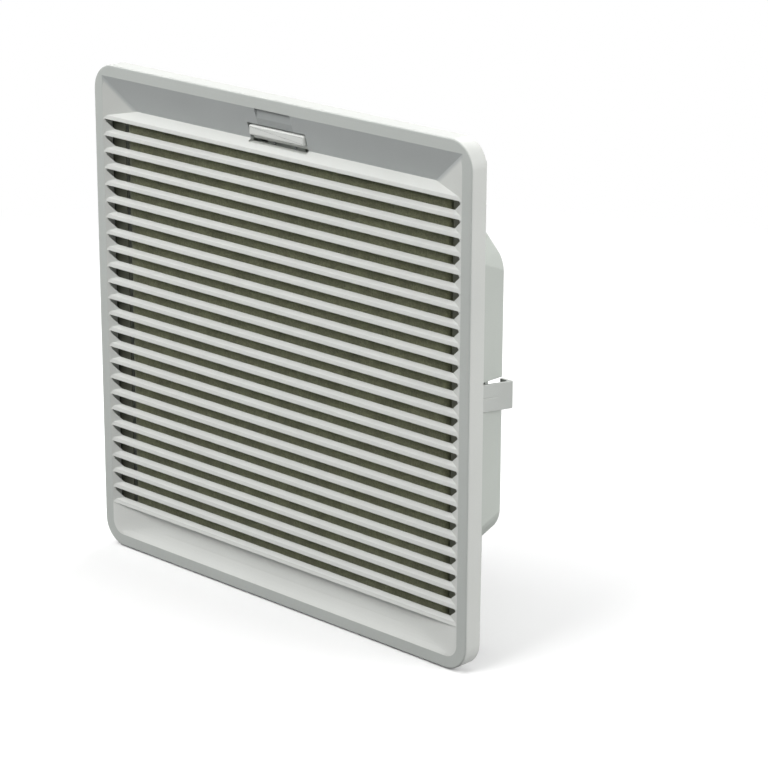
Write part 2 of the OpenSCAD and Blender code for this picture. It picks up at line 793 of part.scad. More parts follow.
// One spring clip at the right-hand side: a barrel, a leaf that flares to the rear and a return leg
module clip_shape() {
    out = house_w / 2;
    tip_x = out + clip_reach;
    belly_y = clip_pivot_y + (clip_tip_y - clip_pivot_y) * clip_belly_share;
    belly_x = out + clip_belly_out;
    nose_y = clip_tip_y - clip_nose_r;
    difference() {
        union() {
            translate([0, 0, -clip_w / 2]) linear_extrude(clip_w) {
                translate([clip_pivot_x, clip_pivot_y]) circle(r = clip_barrel_r);
                polygon([[clip_pivot_x, clip_pivot_y - clip_barrel_r / 2], [out, clip_pivot_y],
                    [belly_x, belly_y], [tip_x, nose_y], [tip_x - clip_t, nose_y],
                    [belly_x - clip_t, belly_y], [out - clip_t, clip_pivot_y + clip_barrel_r],
                    [clip_pivot_x, clip_pivot_y + clip_barrel_r / 2]]);
                translate([tip_x - clip_nose_r, nose_y]) circle(r = clip_nose_r);
                polygon([[tip_x - clip_nose_r, clip_tip_y], [tip_x - clip_return, clip_tip_y],
                    [tip_x - clip_return, clip_tip_y - clip_t], [tip_x - 2 * clip_t, clip_tip_y - clip_t],
                    [tip_x - clip_t, clip_tip_y - 2 * clip_t], [tip_x - clip_nose_r, nose_y]]);
            }
            translate([clip_pivot_x, clip_pivot_y, -clip_w / 2 - clip_trunnion_h])
                cylinder(r = clip_trunnion_r, h = clip_w + 2 * clip_trunnion_h);
        }
        translate([0, 0, -clip_seam_w / 2]) linear_extrude(clip_seam_w)
            polygon([[out + cut, clip_pivot_y + clip_barrel_r], [belly_x + cut, belly_y],
                [tip_x + cut, nose_y - clip_t], [tip_x - clip_seam_d, nose_y - clip_t],
                [belly_x - clip_seam_d, belly_y], [out - clip_seam_d, clip_pivot_y + clip_barrel_r]]);
    }
}
module clip_right() { color([0.77, 0.78, 0.76]) clip_shape(); }
module clip_left() { color([0.77, 0.78, 0.76]) rotate([0, 180, 0]) clip_shape(); }

// Fan housing: two square flanges on a round barrel, with struts, a hub plate and the bearing tube
module fan_housing() {
    barrel_r = fan_bore / 2 + fan_barrel_wall;
    color([0.20, 0.20, 0.21]) {
        difference() {
            union() {
                slab(fan_y, fan_y + fan_flange_t) round_rect(fan_w, fan_w, fan_corner_r);
                slab(fan_rear_y - fan_flange_t, fan_rear_y) round_rect(fan_w, fan_w, fan_corner_r);
                slab(fan_y, fan_rear_y) circle(r = barrel_r);
            }
            slab(fan_y - cut, fan_rear_y + cut) circle(r = fan_bore / 2);
            for (sx = [-1, 1], sz = [-1, 1])
                y_bar(fan_screw_hole_r, fan_y - cut, fan_rear_y + cut,
                    sx * fan_pitch / 2, sz * fan_pitch / 2);
            for (z = [live_z, neutral_z])
                x_bar(lead_r + lead_play, -fan_w / 2 - cut, -fan_w / 2 + lead_hold + lead_play, lead_y, z);
            x_bar(earth_screw_r + earth_screw_play, -fan_w / 2 - cut, -fan_w / 2 + earth_screw_len,
                lead_y, earth_z);
        }
        difference() {
            union() {
                slab(fan_rear_y - strut_t, fan_rear_y) intersection() {
                    union() {
                        for (a = [45:90:315]) rotate(a)
                            translate([tube_r, -strut_w / 2]) square([fan_bore / 2, strut_w]);
                    }
                    circle(r = barrel_r - fan_barrel_wall / 2);
                }
                slab(fan_rear_y - hub_plate_t, fan_rear_y) circle(r = hub_r);
                slab(bearing_y - bearing_lead, fan_rear_y - hub_plate_t + knit) circle(r = tube_r);
            }
            y_bar(bearing_r, bearing_y - bearing_lead - cut, bearing_y + bearing_w);
            y_bar(bearing_r - tube_step, bearing_y + bearing_w - knit, rear_bearing_y);
            y_bar(bearing_r, rear_bearing_y - washer_t, fan_rear_y + cut);
        }
    }
}

// One blade: a flat plate set at its angle, trimmed to the hub and the tip circle
module fan_blade() {
    hub_out = rotor_dia / 2 + hub_wall;
    tip = fan_bore / 2 - blade_tip_gap;
    intersection() {
        translate([hub_out - hub_wall / 2, fan_blade_y + fan_blade_depth / 2, 0])
            rotate([fan_blade_angle, 0, 0]) translate([0, -fan_blade_depth, -fan_blade_t / 2])
                cube([tip, 2 * fan_blade_depth, fan_blade_t]);
        y_ring(tip, hub_out - hub_wall / 2, fan_blade_y, fan_blade_y + fan_blade_depth);
    }
}

module impeller() {
    color([0.13, 0.13, 0.14]) {
        y_ring(rotor_dia / 2 + hub_wall, rotor_dia / 2 + hub_play, cup_y + cup_t, cup_y + cup_len);
        for (i = [0:blade_count - 1]) rotate([0, 360 / blade_count * i, 0]) fan_blade();
    }
}

// Steel cup with its boss on the shaft; its closed end faces the inlet
module rotor_cup() {
    color([0.66, 0.67, 0.69]) difference() {
        union() {
            y_bar(rotor_dia / 2, cup_y, cup_y + cup_len);
        }
        y_ring(rotor_dia / 2 - cup_t, cup_boss_r, cup_y + cup_t, cup_y + cup_len + cut);
        y_bar(cup_boss_r + knit, cup_y + cup_boss_h, cup_y + cup_len + cut);
        y_bar(shaft_dia / 2, cup_y - cut, cup_y + cup_boss_h + cut);
    }
}

module rotor_cage() {
    color([0.78, 0.79, 0.80])
        y_ring(rotor_dia / 2 - cup_t, rotor_dia / 2 - cup_t - cage_t,
            core_y - cage_over, core_y + core_len + cage_over);
}

module fan_shaft() {
    groove_y = rear_bearing_y + bearing_w + circlip_play;
    color([0.75, 0.76, 0.78]) difference() {
        y_bar(shaft_dia / 2, cup_y - shaft_nose, fan_rear_y - hub_plate_t);
        y_ring(shaft_dia, shaft_dia / 2 - circlip_groove, groove_y, groove_y + circlip_t);
    }
}

// A sealed ball bearing: its two rings, with a shield set in between them on each side
module bearing(y) {
    color([0.72, 0.73, 0.75]) difference() {
        y_ring(bearing_r - bearing_play, shaft_dia / 2 + bearing_play, y, y + bearing_w);
        for (face = [y - bearing_shield_in, y + bearing_w - bearing_shield_in])
            y_ring(bearing_r - bearing_race_t, shaft_dia / 2 + bearing_race_t,
                face, face + 2 * bearing_shield_in);
    }
}
module front_bearing() { bearing(bearing_y); }
module rear_bearing() { bearing(rear_bearing_y); }

module preload_washer() {
    color([0.60, 0.61, 0.63])
        y_ring(bearing_r - washer_in, shaft_dia / 2 + washer_bore_out,
            rear_bearing_y - washer_t, rear_bearing_y);
}

module shaft_circlip() {
    y0 = rear_bearing_y + bearing_w + circlip_play;
    color([0.55, 0.56, 0.58]) slab(y0, y0 + circlip_t) difference() {
        circle(r = shaft_dia / 2 + circlip_out);
        circle(r = shaft_dia / 2 - circlip_groove + circlip_play);
        translate([0, -circlip_gap / 2]) square([shaft_dia + circlip_out, circlip_gap]);
    }
}

// Laminated stator: a ring on the bearing tube, with poles that carry curved shoes
module stator_core() {
    color([0.45, 0.46, 0.48]) slab(core_y, core_y + core_len) {
        difference() {
            union() {
                circle(r = tube_r + core_ring_t);
                for (i = [0:pole_count - 1]) rotate(360 / pole_count * i)
                    translate([0, -pole_w / 2]) square([core_face_r - core_shoe_t / 2, pole_w]);
            }
            circle(r = tube_r + hub_play);
        }
        difference() {
            circle(r = core_face_r);
            circle(r = core_shoe_r);
            for (i = [0:pole_count - 1]) rotate(360 / pole_count * (i + 1 / 2))
                translate([0, -core_gap / 2]) square([2 * core_face_r, core_gap]);
        }
    }
}

// A block round each pole, grown by a distance on its four sides
module pole_blocks(grow) {
    inner = tube_r + core_ring_t + coil_play;
    half_w = pole_w / 2 + grow;
    outer = sqrt(pow(core_shoe_r - coil_play, 2) - half_w * half_w);
    for (i = [0:pole_count - 1]) rotate([0, 360 / pole_count * i, 0])
        span([inner, core_y - grow, -half_w], [outer, core_y + core_len + grow, half_w]);
}

// The bore of a sleeve round each pole, open at both its ends
module pole_bores(grow) {
    for (i = [0:pole_count - 1]) rotate([0, 360 / pole_count * i, 0])
        span([tube_r, core_y - grow, -pole_w / 2 - grow],
            [rotor_dia / 2, core_y + core_len + grow, pole_w / 2 + grow]);
}
module coil_former() {
    color([0.92, 0.92, 0.90]) difference() {
        pole_blocks(former_t);
        pole_bores(former_play);
    }
}
module stator_coils() {
    color([0.72, 0.38, 0.20]) difference() {
        pole_blocks(former_t + coil_t);
        pole_bores(former_t + former_play);
    }
}

module hub_plug() {
    color([0.10, 0.10, 0.10]) y_bar(bearing_r - bearing_play, fan_rear_y - plug_t, fan_rear_y);
}

module finger_guard() {
    reach = fan_pitch / sqrt(2) - screw_head_r - guard_play;
    color([0.80, 0.81, 0.83]) {
        for (i = [0:guard_ring_count - 1]) translate([0, guard_ring_y, 0]) rotate([90, 0, 0])
            rotate_extrude() translate([guard_first_r + i * guard_ring_step, 0]) circle(r = guard_wire_r);
        for (a = [45:90:315]) rotate([0, a, 0])
            x_bar(guard_bar_r, guard_first_r - guard_wire_r, reach, guard_bar_y);
        for (sx = [-1, 1], sz = [-1, 1])
            translate([sx * fan_pitch / 2, guard_eye_y, sz * fan_pitch / 2]) rotate([90, 0, 0])
                rotate_extrude() translate([guard_eye_r, 0]) circle(r = guard_wire_r);
    }
}

module fan_screws() {
    head_y = guard_eye_y + guard_wire_r;
    color([0.72, 0.73, 0.75]) for (sx = [-1, 1], sz = [-1, 1]) difference() {
        union() {
            y_bar(screw_head_r, head_y, head_y + screw_head_h, sx * fan_pitch / 2, sz * fan_pitch / 2);
            y_bar(screw_r, rear_plate_y - nut_h - screw_over, head_y + knit,
                sx * fan_pitch / 2, sz * fan_pitch / 2);
        }
        for (a = [0, 90])
            translate([sx * fan_pitch / 2, head_y + screw_head_h, sz * fan_pitch / 2]) rotate([0, a, 0])
                cube([screw_head_r, 2 * drive_d, drive_w], center = true);
    }
}

module fan_nuts() {
    color([0.70, 0.71, 0.73]) for (sx = [-1, 1], sz = [-1, 1])
        translate([sx * fan_pitch / 2, 0, sz * fan_pitch / 2])
            slab(rear_plate_y - nut_h, rear_plate_y) difference() {
                circle(d = nut_flat / cos(30), $fn = 6);
                circle(r = screw_r + nut_play);
            }
}

// Three-pole terminal block, with a fixing foot at each end
module terminal_block() {
    color([0.30, 0.31, 0.32]) difference() {
        union() {
            span([block_x - block_w / 2, housing_depth, block_z - block_h / 2],
                [block_x + block_w / 2, housing_depth + block_d, block_z + block_h / 2]);
            span([block_x - block_foot_w / 2, housing_depth, block_z - block_foot_z - block_foot_h / 2],
                [block_x + block_foot_w / 2, housing_depth + block_foot_t,
                    block_z + block_foot_z + block_foot_h / 2]);
        }
        for (i = [-1:1]) {
            z = block_z + i * pole_step;
            y_bar(clamp_r, clamp_y, housing_depth + block_d + cut, block_x, z);
            for (x0 = [block_x - block_w / 2 - cut, block_x + block_w / 2 - entry_depth])
                span([x0, clamp_y - entry_h, z - entry_w / 2],
                    [x0 + entry_depth + cut, clamp_y + knit, z + entry_w / 2]);
        }
        for (s = [-1, 1])
            y_bar(foot_screw_r + foot_screw_play, housing_depth - cut, housing_depth + block_foot_t + cut,
                block_x, block_z + s * block_foot_z);
    }
}

module terminal_screws() {
    color([0.76, 0.70, 0.48]) for (i = [-1:1]) difference() {
        y_bar(terminal_screw_r, clamp_y, clamp_y + terminal_screw_h, block_x, block_z + i * pole_step);
        translate([block_x, clamp_y + terminal_screw_h, block_z + i * pole_step])
            cube([3 * terminal_screw_r, 2 * drive_d, drive_w], center = true);
    }
}

module block_screws() {
    top = housing_depth + block_foot_t;
    color([0.72, 0.73, 0.75]) for (s = [-1, 1]) difference() {
        union() {
            y_bar(foot_screw_head_r, top, top + foot_screw_head_h, block_x, block_z + s * block_foot_z);
            y_bar(foot_screw_r, rear_plate_y - screw_over, top + knit, block_x, block_z + s * block_foot_z);
        }
        translate([block_x, top + foot_screw_head_h, block_z + s * block_foot_z])
            cube([3 * foot_screw_head_r, 2 * drive_d, drive_w], center = true);
    }
}

// A smooth curve through chosen points, and a tube of round rings swept along it
function spline_point(p, i, t) = let (
    a = p[max(i - 1, 0)], b = p[i], c = p[i + 1], d = p[min(i + 2, len(p) - 1)])
    (2 * b + (c - a) * t + (2 * a - 5 * b + 4 * c - d) * t * t + (3 * b - a - 3 * c + d) * t * t * t) / 2;
function curve(p) = [for (i = [0:len(p) - 2], j = [0:lead_fine - 1]) spline_point(p, i, j / lead_fine),
    p[len(p) - 1]];
function unit(v) = v / norm(v);
module lead_tube(route, up) {
    c = curve(route);
    last = len(c) - 1;
    points = [for (i = [0:last]) let (
        ahead = unit(c[min(i + 1, last)] - c[max(i - 1, 0)]),
        side = unit(cross(ahead, up)))
        for (j = [0:lead_sides - 1]) let (a = 360 * j / lead_sides)
            c[i] + lead_r * (cos(a) * side + sin(a) * cross(ahead, side))];
    skin = [for (i = [0:last - 1], j = [0:lead_sides - 1])
        let (a = i * lead_sides + j, b = i * lead_sides + (j + 1) % lead_sides)
            each [[a, a + lead_sides, b], [b, a + lead_sides, b + lead_sides]]];
    polyhedron(points = points, faces = concat(skin, [[for (j = [0:lead_sides - 1]) j]],
        [[for (j = [0:lead_sides - 1]) len(points) - 1 - j]]));
}

// The last part of each lead: down beside the fan and into its pole of the terminal block
function lead_end(z) = [[block_x + block_w / 2 + lead_bend / 2, entry_y, z],
    [block_x + block_w / 2, entry_y, z], [block_x + block_w / 2 - lead_insert, entry_y, z]];

// A supply lead leaves the fan's rear flange, bends down and runs to its pole
function supply_route(z0, z1) = let (side = -fan_w / 2, run = side - lead_bend)
    concat([[side + lead_hold, lead_y, z0], [side, lead_y, z0],
        [side - lead_bend / 2, lead_y - lead_r / 2, z0],
        [run, lead_y - lead_bend, z0 + (z1 - z0) / 4],
        [run - lead_r, (lead_y + entry_y) / 2, (z0 + z1) / 2],
        [run - lead_r, entry_y + lead_bend / 2, z1 - (z1 - z0) / 8]], lead_end(z1));

// The earth lead leaves the crimp of its ring lug downwards
function earth_route(z1) = let (x0 = earth_crimp_x, z0 = earth_crimp_z, run = -fan_w / 2 - lead_bend)
    concat([[x0, lead_y, z0 + earth_crimp_h], [x0, lead_y, z0],
        [x0, lead_y - lead_r / 2, z0 - lead_bend / 2],
        [run, lead_y - lead_bend, z0 - 2 * lead_bend],
        [run - lead_r, (lead_y + entry_y) / 2, (z0 + z1) / 2],
        [run - lead_r, entry_y + lead_bend / 2, z1 + lead_bend]], lead_end(z1));

module live_lead() {
    color([0.36, 0.22, 0.12]) lead_tube(supply_route(live_z, block_z - pole_step), [0, 0, 1]);
}
module neutral_lead() {
    color([0.12, 0.30, 0.62]) lead_tube(supply_route(neutral_z, block_z), [0, 0, 1]);
}
module earth_lead() {
    color([0.55, 0.66, 0.15]) lead_tube(earth_route(block_z + pole_step), [1, 1, 0]);
}

// Ring lug under the earth screw, with the crimped barrel that holds the earth lead
module earth_lug() {
    side = -fan_w / 2;
    color([0.74, 0.75, 0.77]) difference() {
        union() {
            x_bar(earth_lug_r, side - earth_lug_t, side, lead_y, earth_z);
            span([side - earth_lug_t, lead_y - earth_crimp_r / 2, earth_crimp_z + earth_crimp_h / 2],
                [side, lead_y + earth_crimp_r / 2, earth_z - earth_screw_r]);
            translate([earth_crimp_x, lead_y, earth_crimp_z])
                cylinder(r = earth_crimp_r, h = earth_crimp_h);
        }
        translate([earth_crimp_x, lead_y, earth_crimp_z - cut])
            cylinder(r = lead_r + earth_crimp_gap, h = earth_crimp_h + 2 * cut);
        x_bar(earth_screw_r + earth_screw_play, side - earth_lug_t - cut, side + cut, lead_y, earth_z);
    }
}

module earth_screw() {
    side = -fan_w / 2 - earth_lug_t;
    color([0.76, 0.70, 0.48]) difference() {
        union() {
            x_bar(earth_head_r, side - earth_head_h, side, lead_y, earth_z);
            x_bar(earth_screw_r, side - knit, -fan_w / 2 + earth_screw_len - earth_screw_play,
                lead_y, earth_z);
        }
        translate([side - earth_head_h, lead_y, earth_z])
            cube([2 * drive_d, 3 * earth_head_r, drive_w], center = true);
    }
}

front_cover();
hinge_pins();
latch_slider();
latch_springs();
latch_retainer();
latch_screws();
filter_mat();
base_frame();
flange_gasket();
clip_right();
clip_left();
fan_housing();
impeller();
rotor_cup();
rotor_cage();
fan_shaft();
front_bearing();
rear_bearing();
preload_washer();
shaft_circlip();
stator_core();
coil_former();
stator_coils();
hub_plug();
finger_guard();
fan_screws();
fan_nuts();
terminal_block();
terminal_screws();
block_screws();
live_lead();
neutral_lead();
earth_lead();
earth_lug();
earth_screw();
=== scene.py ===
import json
import math

import bmesh
import bpy
from mathutils import Matrix, Vector, noise


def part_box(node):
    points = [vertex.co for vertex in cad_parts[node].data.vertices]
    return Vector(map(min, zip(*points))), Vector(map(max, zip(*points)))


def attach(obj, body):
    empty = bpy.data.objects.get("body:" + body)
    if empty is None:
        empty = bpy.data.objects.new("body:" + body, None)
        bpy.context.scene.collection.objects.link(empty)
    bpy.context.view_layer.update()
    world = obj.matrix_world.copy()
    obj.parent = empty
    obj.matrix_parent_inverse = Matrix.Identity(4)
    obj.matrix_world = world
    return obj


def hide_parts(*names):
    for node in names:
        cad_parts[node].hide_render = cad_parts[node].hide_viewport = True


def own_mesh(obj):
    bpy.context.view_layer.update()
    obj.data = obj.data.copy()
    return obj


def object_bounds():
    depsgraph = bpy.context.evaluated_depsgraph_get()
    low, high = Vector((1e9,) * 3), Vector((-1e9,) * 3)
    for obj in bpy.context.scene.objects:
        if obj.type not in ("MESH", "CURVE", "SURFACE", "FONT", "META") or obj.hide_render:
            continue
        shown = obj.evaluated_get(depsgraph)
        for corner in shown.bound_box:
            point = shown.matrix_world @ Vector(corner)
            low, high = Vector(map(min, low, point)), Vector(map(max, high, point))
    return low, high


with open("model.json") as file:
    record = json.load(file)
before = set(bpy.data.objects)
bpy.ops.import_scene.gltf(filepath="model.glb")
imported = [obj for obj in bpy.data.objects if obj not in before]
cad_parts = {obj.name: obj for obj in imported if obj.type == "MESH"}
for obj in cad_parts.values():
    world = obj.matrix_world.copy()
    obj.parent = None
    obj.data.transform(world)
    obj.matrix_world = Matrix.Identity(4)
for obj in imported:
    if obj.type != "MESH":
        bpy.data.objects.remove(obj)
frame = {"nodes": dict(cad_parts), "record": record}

CAD_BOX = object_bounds()
NODES = frame["nodes"]
BODIES = {node: body for body, nodes in frame["record"]["behaviour"]["bodies"].items() for node in nodes}
SLOTS = {part["node"]: part["material_slot"] for part in frame["record"]["subparts"]}

MM = 0.001
WHITE = (1, 1, 1, 1)

# Points nearer than MERGE are one point, and faces that turn less than FLAT are one face
MERGE = 0.001 * MM
FLAT = math.radians(0.5)

# Edges that turn more than this are edges of the real piece, not facets of a round face
SHARP = math.radians(25)

# The round on the finer edges of the frame and the latch
FINE_ROUND = 0.25 * MM

# How far a place may lie from the line or plane on which it is looked for
PLAY = 0.1 * MM

# The cover's front, as the CAD has it
FRONT_Y = CAD_BOX[0][1]
COVER_CORNER_R = 13 * MM
COVER_ROUND = 0.8 * MM
RIM_W = 6 * MM
RIM_EDGE = CAD_BOX[1][0] - RIM_W
RIM_CORNER_R = 7 * MM
NOTCH_HALF_W = 11.7 * MM
RECESS_D = 5.1 * MM
RECESS_H = 15.9 * MM
RECESS_LOW = RIM_EDGE - RECESS_H
RECESS_SLOPE = RECESS_D / RECESS_H
DISH_D = 3.4 * MM
DISH_END = 28 * MM
DISH_BEND_Z = -105 * MM


# Colours and finishes

# Sizes of the patterns in moulded plastic, in metres
FLOW = 0.045
RIPPLE = 0.02
WEAR = 0.012
SPECKLE = 0.0006
GRAIN = 0.00035

# Noise seldom leaves this part of 0 to 1
NOISE_LOW = 0.25
NOISE_HIGH = 0.75

# A Mix node's colour sockets, whose names its other sockets have too
MIX_SHARE = 0
MIX_FIRST = 6
MIX_SECOND = 7
MIX_RESULT = 2

# The width over which the edge between two tones of a piece fades
TONE_EDGE = 0.1 * MM


def paint(red, green, blue):
    """A colour from its values of 0 to 255 as they are seen, as linear red, green and blue."""
    def linear(value):
        share = value / 255
        return share / 12.92 if share <= 0.04045 else ((share + 0.055) / 1.055) ** 2.4
    return (linear(red), linear(green), linear(blue), 1.0)


class Finish:
    """A material in the making. Its patterns lie on Object coordinates, with sizes in metres."""

    def __init__(self, name, color, roughness, metallic=0.0):
        self.material = bpy.data.materials.new(name)
        self.material.use_nodes = True
        self.material.diffuse_color = color
        self.nodes = self.material.node_tree.nodes
        self.links = self.material.node_tree.links
        self.shader = self.nodes["Principled BSDF"]
        self.shader.inputs["Base Color"].default_value = color
        self.shader.inputs["Roughness"].default_value = roughness
        self.shader.inputs["Metallic"].default_value = metallic
        self.place = self.nodes.new("ShaderNodeTexCoord").outputs["Object"]
        self.color = color
        self.roughness = roughness

    def feed(self, socket, value):
        """Gives a socket a value, or another node's output."""
        if isinstance(value, bpy.types.NodeSocket):
            self.links.new(value, socket)
        else:
            socket.default_value = value

    def add(self, kind, settings=None, **feeds):
        """A node with its settings and what feeds its sockets."""
        made = self.nodes.new(kind)
        for name, value in (settings or {}).items():
            setattr(made, name, value)
        for name, value in feeds.items():
            self.feed(made.inputs[name.replace("_", " ")], value)
        return made

    def stretched(self, x, y, z):
        """Object coordinates stretched along each axis, for a pattern with a direction."""
        return self.add("ShaderNodeMapping", Vector=self.place, Scale=(x, y, z)).outputs["Vector"]

    def noise(self, size, detail=3.0, roughness=0.55, place=None):
        """Noise whose lumps are about this size."""
        made = self.add("ShaderNodeTexNoise", Vector=place or self.place, Scale=1 / size,
                        Detail=detail, Roughness=roughness)
        return made.outputs["Fac"]

    def spread(self, value, low, high):
        """A value of 0 to 1 mapped on to a range, with the middle of noise drawn out."""
        made = self.add("ShaderNodeMapRange", Value=value, From_Min=NOISE_LOW, From_Max=NOISE_HIGH,
                        To_Min=low, To_Max=high)
        return made.outputs["Result"]

    def shade(self, value, low, high, base=None):
        """The base colour made lighter and darker by a value, between two factors."""
        made = self.add("ShaderNodeVectorMath", {"operation": "SCALE"}, Scale=self.spread(value, low, high))
        self.feed(made.inputs[0], self.color[:3] if base is None else base)
        return made.outputs["Vector"]

    def blend(self, value, first, second):
        """One colour or output turning into another as a value goes from 0 to 1."""
        made = self.add("ShaderNodeMix", {"data_type": "RGBA"})
        self.feed(made.inputs[MIX_SHARE], value)
        self.feed(made.inputs[MIX_FIRST], first)
        self.feed(made.inputs[MIX_SECOND], second)
        return made.outputs[MIX_RESULT]

    def ramp(self, value, low, high):
        """A value cut to a soft step between low and high."""
        made = self.add("ShaderNodeMapRange", {"interpolation_type": "SMOOTHSTEP"}, Value=value,
                        From_Min=low, From_Max=high)
        return made.outputs["Result"]

    def calc(self, operation, *feeds):
        """A sum or other operation on numbers and outputs."""
        made = self.add("ShaderNodeMath", {"operation": operation})
        for socket, value in zip(made.inputs, feeds):
            self.feed(socket, value)
        return made.outputs[0]

    def distance(self, first, second):
        """How far a point lies from the middle, from its distances along two axes."""
        squares = (self.calc("MULTIPLY", first, first), self.calc("MULTIPLY", second, second))
        return self.calc("SQRT", self.calc("ADD", *squares))

    def axes(self):
        """The Object coordinates as three outputs."""
        return self.add("ShaderNodeSeparateXYZ", Vector=self.place).outputs

    def within(self, value, low, high, soft=TONE_EDGE):
        """1 where a value lies between two limits, fading over a soft width outside them."""
        return self.calc("MULTIPLY", self.ramp(value, low - soft, low), self.ramp(value, high + soft, high))

    def colored(self, output):
        self.links.new(output, self.shader.inputs["Base Color"])

    def roughened(self, value, swing):
        """Roughness that wanders round the finish's own value."""
        output = self.spread(value, self.roughness - swing, self.roughness + swing)
        self.links.new(output, self.shader.inputs["Roughness"])

    def bumped(self, *layers):
        """Bumps laid over one another, each a pair of a height output and its depth in metres."""
        last = None
        for height, depth in layers:
            made = self.add("ShaderNodeBump", Height=height, Distance=depth, Strength=1.0)
            if last:
                self.links.new(last, made.inputs["Normal"])
            last = made.outputs["Normal"]
        self.links.new(last, self.shader.inputs["Normal"])

    def moulded_skin(self, shift, speckle, grain, ripple, base=None):
        """What all moulded plastic has: flow shades, speckle, handling gloss, eroded grain and ripples."""
        toned = self.shade(self.noise(FLOW, detail=2), 1 - shift, 1 + shift, base)
        self.colored(self.shade(self.noise(SPECKLE, detail=2), 1 - speckle, 1 + speckle, toned))
        self.roughened(self.noise(WEAR, detail=4), swing=0.06)
        self.bumped((self.noise(GRAIN), grain), (self.noise(RIPPLE, detail=2), ripple))


def moulded(name, color, roughness=0.42, grain=0.006 * MM, shift=0.03):
    """Injection-moulded plastic in one colour."""
    made = Finish(name, color, roughness)
    made.moulded_skin(shift, speckle=shift / 2, grain=grain, ripple=6 * grain)
    made.shader.inputs["Specular IOR Level"].default_value = 0.45
    return made.material


def round_rim(made, x, z):
    """1 on the front's rim, 0 inside its opening with the round corners."""
    straight = RIM_EDGE - RIM_CORNER_R
    over_x = made.calc("MAXIMUM", made.calc("SUBTRACT", made.calc("ABSOLUTE", x), straight), 0)
    over_z = made.calc("MAXIMUM", made.calc("SUBTRACT", made.calc("ABSOLUTE", z), straight), 0)
    return made.ramp(made.distance(over_x, over_z), RIM_CORNER_R - TONE_EDGE, RIM_CORNER_R + TONE_EDGE / 2)


def recess_wall(made, x, y, z):
    """1 on the slanting wall of the handle recess, fading away on the recess's sloping ends."""
    fade = 1.1 * MM
    wall_y = made.calc("MULTIPLY_ADD", z, -RECESS_SLOPE, FRONT_Y + RECESS_SLOPE * RIM_EDGE)
    at_wall = made.ramp(made.calc("SUBTRACT", y, wall_y), -fade, -TONE_EDGE)
    opening = made.calc("MULTIPLY", made.within(z, RECESS_LOW, RIM_EDGE + TONE_EDGE),
                        made.within(x, -RIM_EDGE, RIM_EDGE))
    return made.calc("MULTIPLY", at_wall, opening)


def cover_moulded(name, color, rim_shade_color, recess_shade_color, notch_shade_color, dish_light_color):
    """The cover's plastic: painted shade greys its flat rim and recess wall; painted light pales its dish.
    """
    rim_depth = 0.5 * MM
    dish_fade = 5 * MM
    made = Finish(name, color, roughness=0.42)
    x, y, z = made.axes()
    # Painted shade: the flat front rim is darker, where light grazes it
    rim = round_rim(made, x, z)
    flat = made.ramp(y, FRONT_Y + rim_depth, FRONT_Y + TONE_EDGE)
    base = made.blend(made.calc("MULTIPLY", rim, flat), color, rim_shade_color)
    # Painted shade: the recess wall under the rim's overhang is darker, and the notch in it darker still
    notch = made.within(x, -NOTCH_HALF_W, NOTCH_HALF_W)
    wall_color = made.blend(notch, recess_shade_color, notch_shade_color)
    base = made.blend(recess_wall(made, x, y, z), base, wall_color)
    # Painted light: the dished panel below the louvres is made paler
    low_part = made.ramp(z, DISH_BEND_Z + dish_fade, DISH_BEND_Z)
    dish = made.calc("MULTIPLY", low_part, made.calc("SUBTRACT", 1, rim))
    base = made.blend(dish, base, dish_light_color)
    made.moulded_skin(shift=0.025, speckle=0.015, grain=0.006 * MM, ripple=0.03 * MM, base=base)
    made.shader.inputs["Specular IOR Level"].default_value = 0.4
    return made.material


def frame_moulded(name, color, face_shade_color):
    """The frame's plastic, with painted shade darkening the face that the cover closes on."""
    side_fade = 0.3 * MM
    face_depth = 6 * MM
    face_end = 6.6 * MM
    made = Finish(name, color, roughness=0.5)
    x, y, z = made.axes()
    # Painted shade: the face inside the rim's outline, behind the louvres, is darkened where they shade it
    inside = made.calc("MULTIPLY", made.within(x, -RIM_EDGE, RIM_EDGE, side_fade),
                       made.within(z, -RIM_EDGE, RIM_EDGE, side_fade))
    front = made.ramp(y, FRONT_Y + face_end, FRONT_Y + face_depth)
    base = made.blend(made.calc("MULTIPLY", inside, front), color, face_shade_color)
    made.moulded_skin(shift=0.03, speckle=0.015, grain=0.008 * MM, ripple=0.04 * MM, base=base)
    return made.material


def plated(name, color, tint, roughness=0.3):
    """Zinc-plated or bright metal: a tone clouded with a tint, and fine drawn marks."""
    made = Finish(name, color, roughness, metallic=1.0)
    clouds = made.ramp(made.noise(0.004, detail=4), 0.42, 0.66)
    base = made.blend(clouds, color, tint)
    made.colored(made.shade(made.noise(0.0007, detail=2), 0.9, 1.08, base))
    made.roughened(made.noise(0.0015, detail=4), swing=0.09)
    marks = made.noise(0.0002, detail=2, place=made.stretched(1, 0.15, 1))
    made.bumped((marks, 0.004 * MM))
    return made.material


def painted_casting(name, color, dust_color):
    """Die-cast metal under matt paint: orange peel, a lighter dust film and fine pits."""
    made = Finish(name, color, roughness=0.5)
    dust = made.ramp(made.noise(0.014, detail=5, roughness=0.65), 0.4, 0.75)
    base = made.blend(dust, color, dust_color)
    made.colored(made.shade(made.noise(0.0008), 0.86, 1.12, base))
    made.roughened(made.noise(0.003, detail=4), swing=0.1)
    made.bumped((made.noise(0.0009), 0.03 * MM), (made.noise(0.006, detail=2), 0.05 * MM))
    return made.material


def turned(name, color, roughness, step=0.0003):
    """Sheet or bar turned or drawn about the Y axis: fine rings round it."""
    made = Finish(name, color, roughness, metallic=1.0)
    x, y, z = made.axes()
    profile = made.add("ShaderNodeCombineXYZ", X=made.distance(x, z), Y=y)
    rings = made.noise(step, roughness=0.7, place=profile.outputs["Vector"])
    made.colored(made.shade(rings, 0.86, 1.08))
    made.roughened(made.noise(0.004, detail=4), swing=0.08)
    made.bumped((rings, 0.004 * MM))
    return made.material


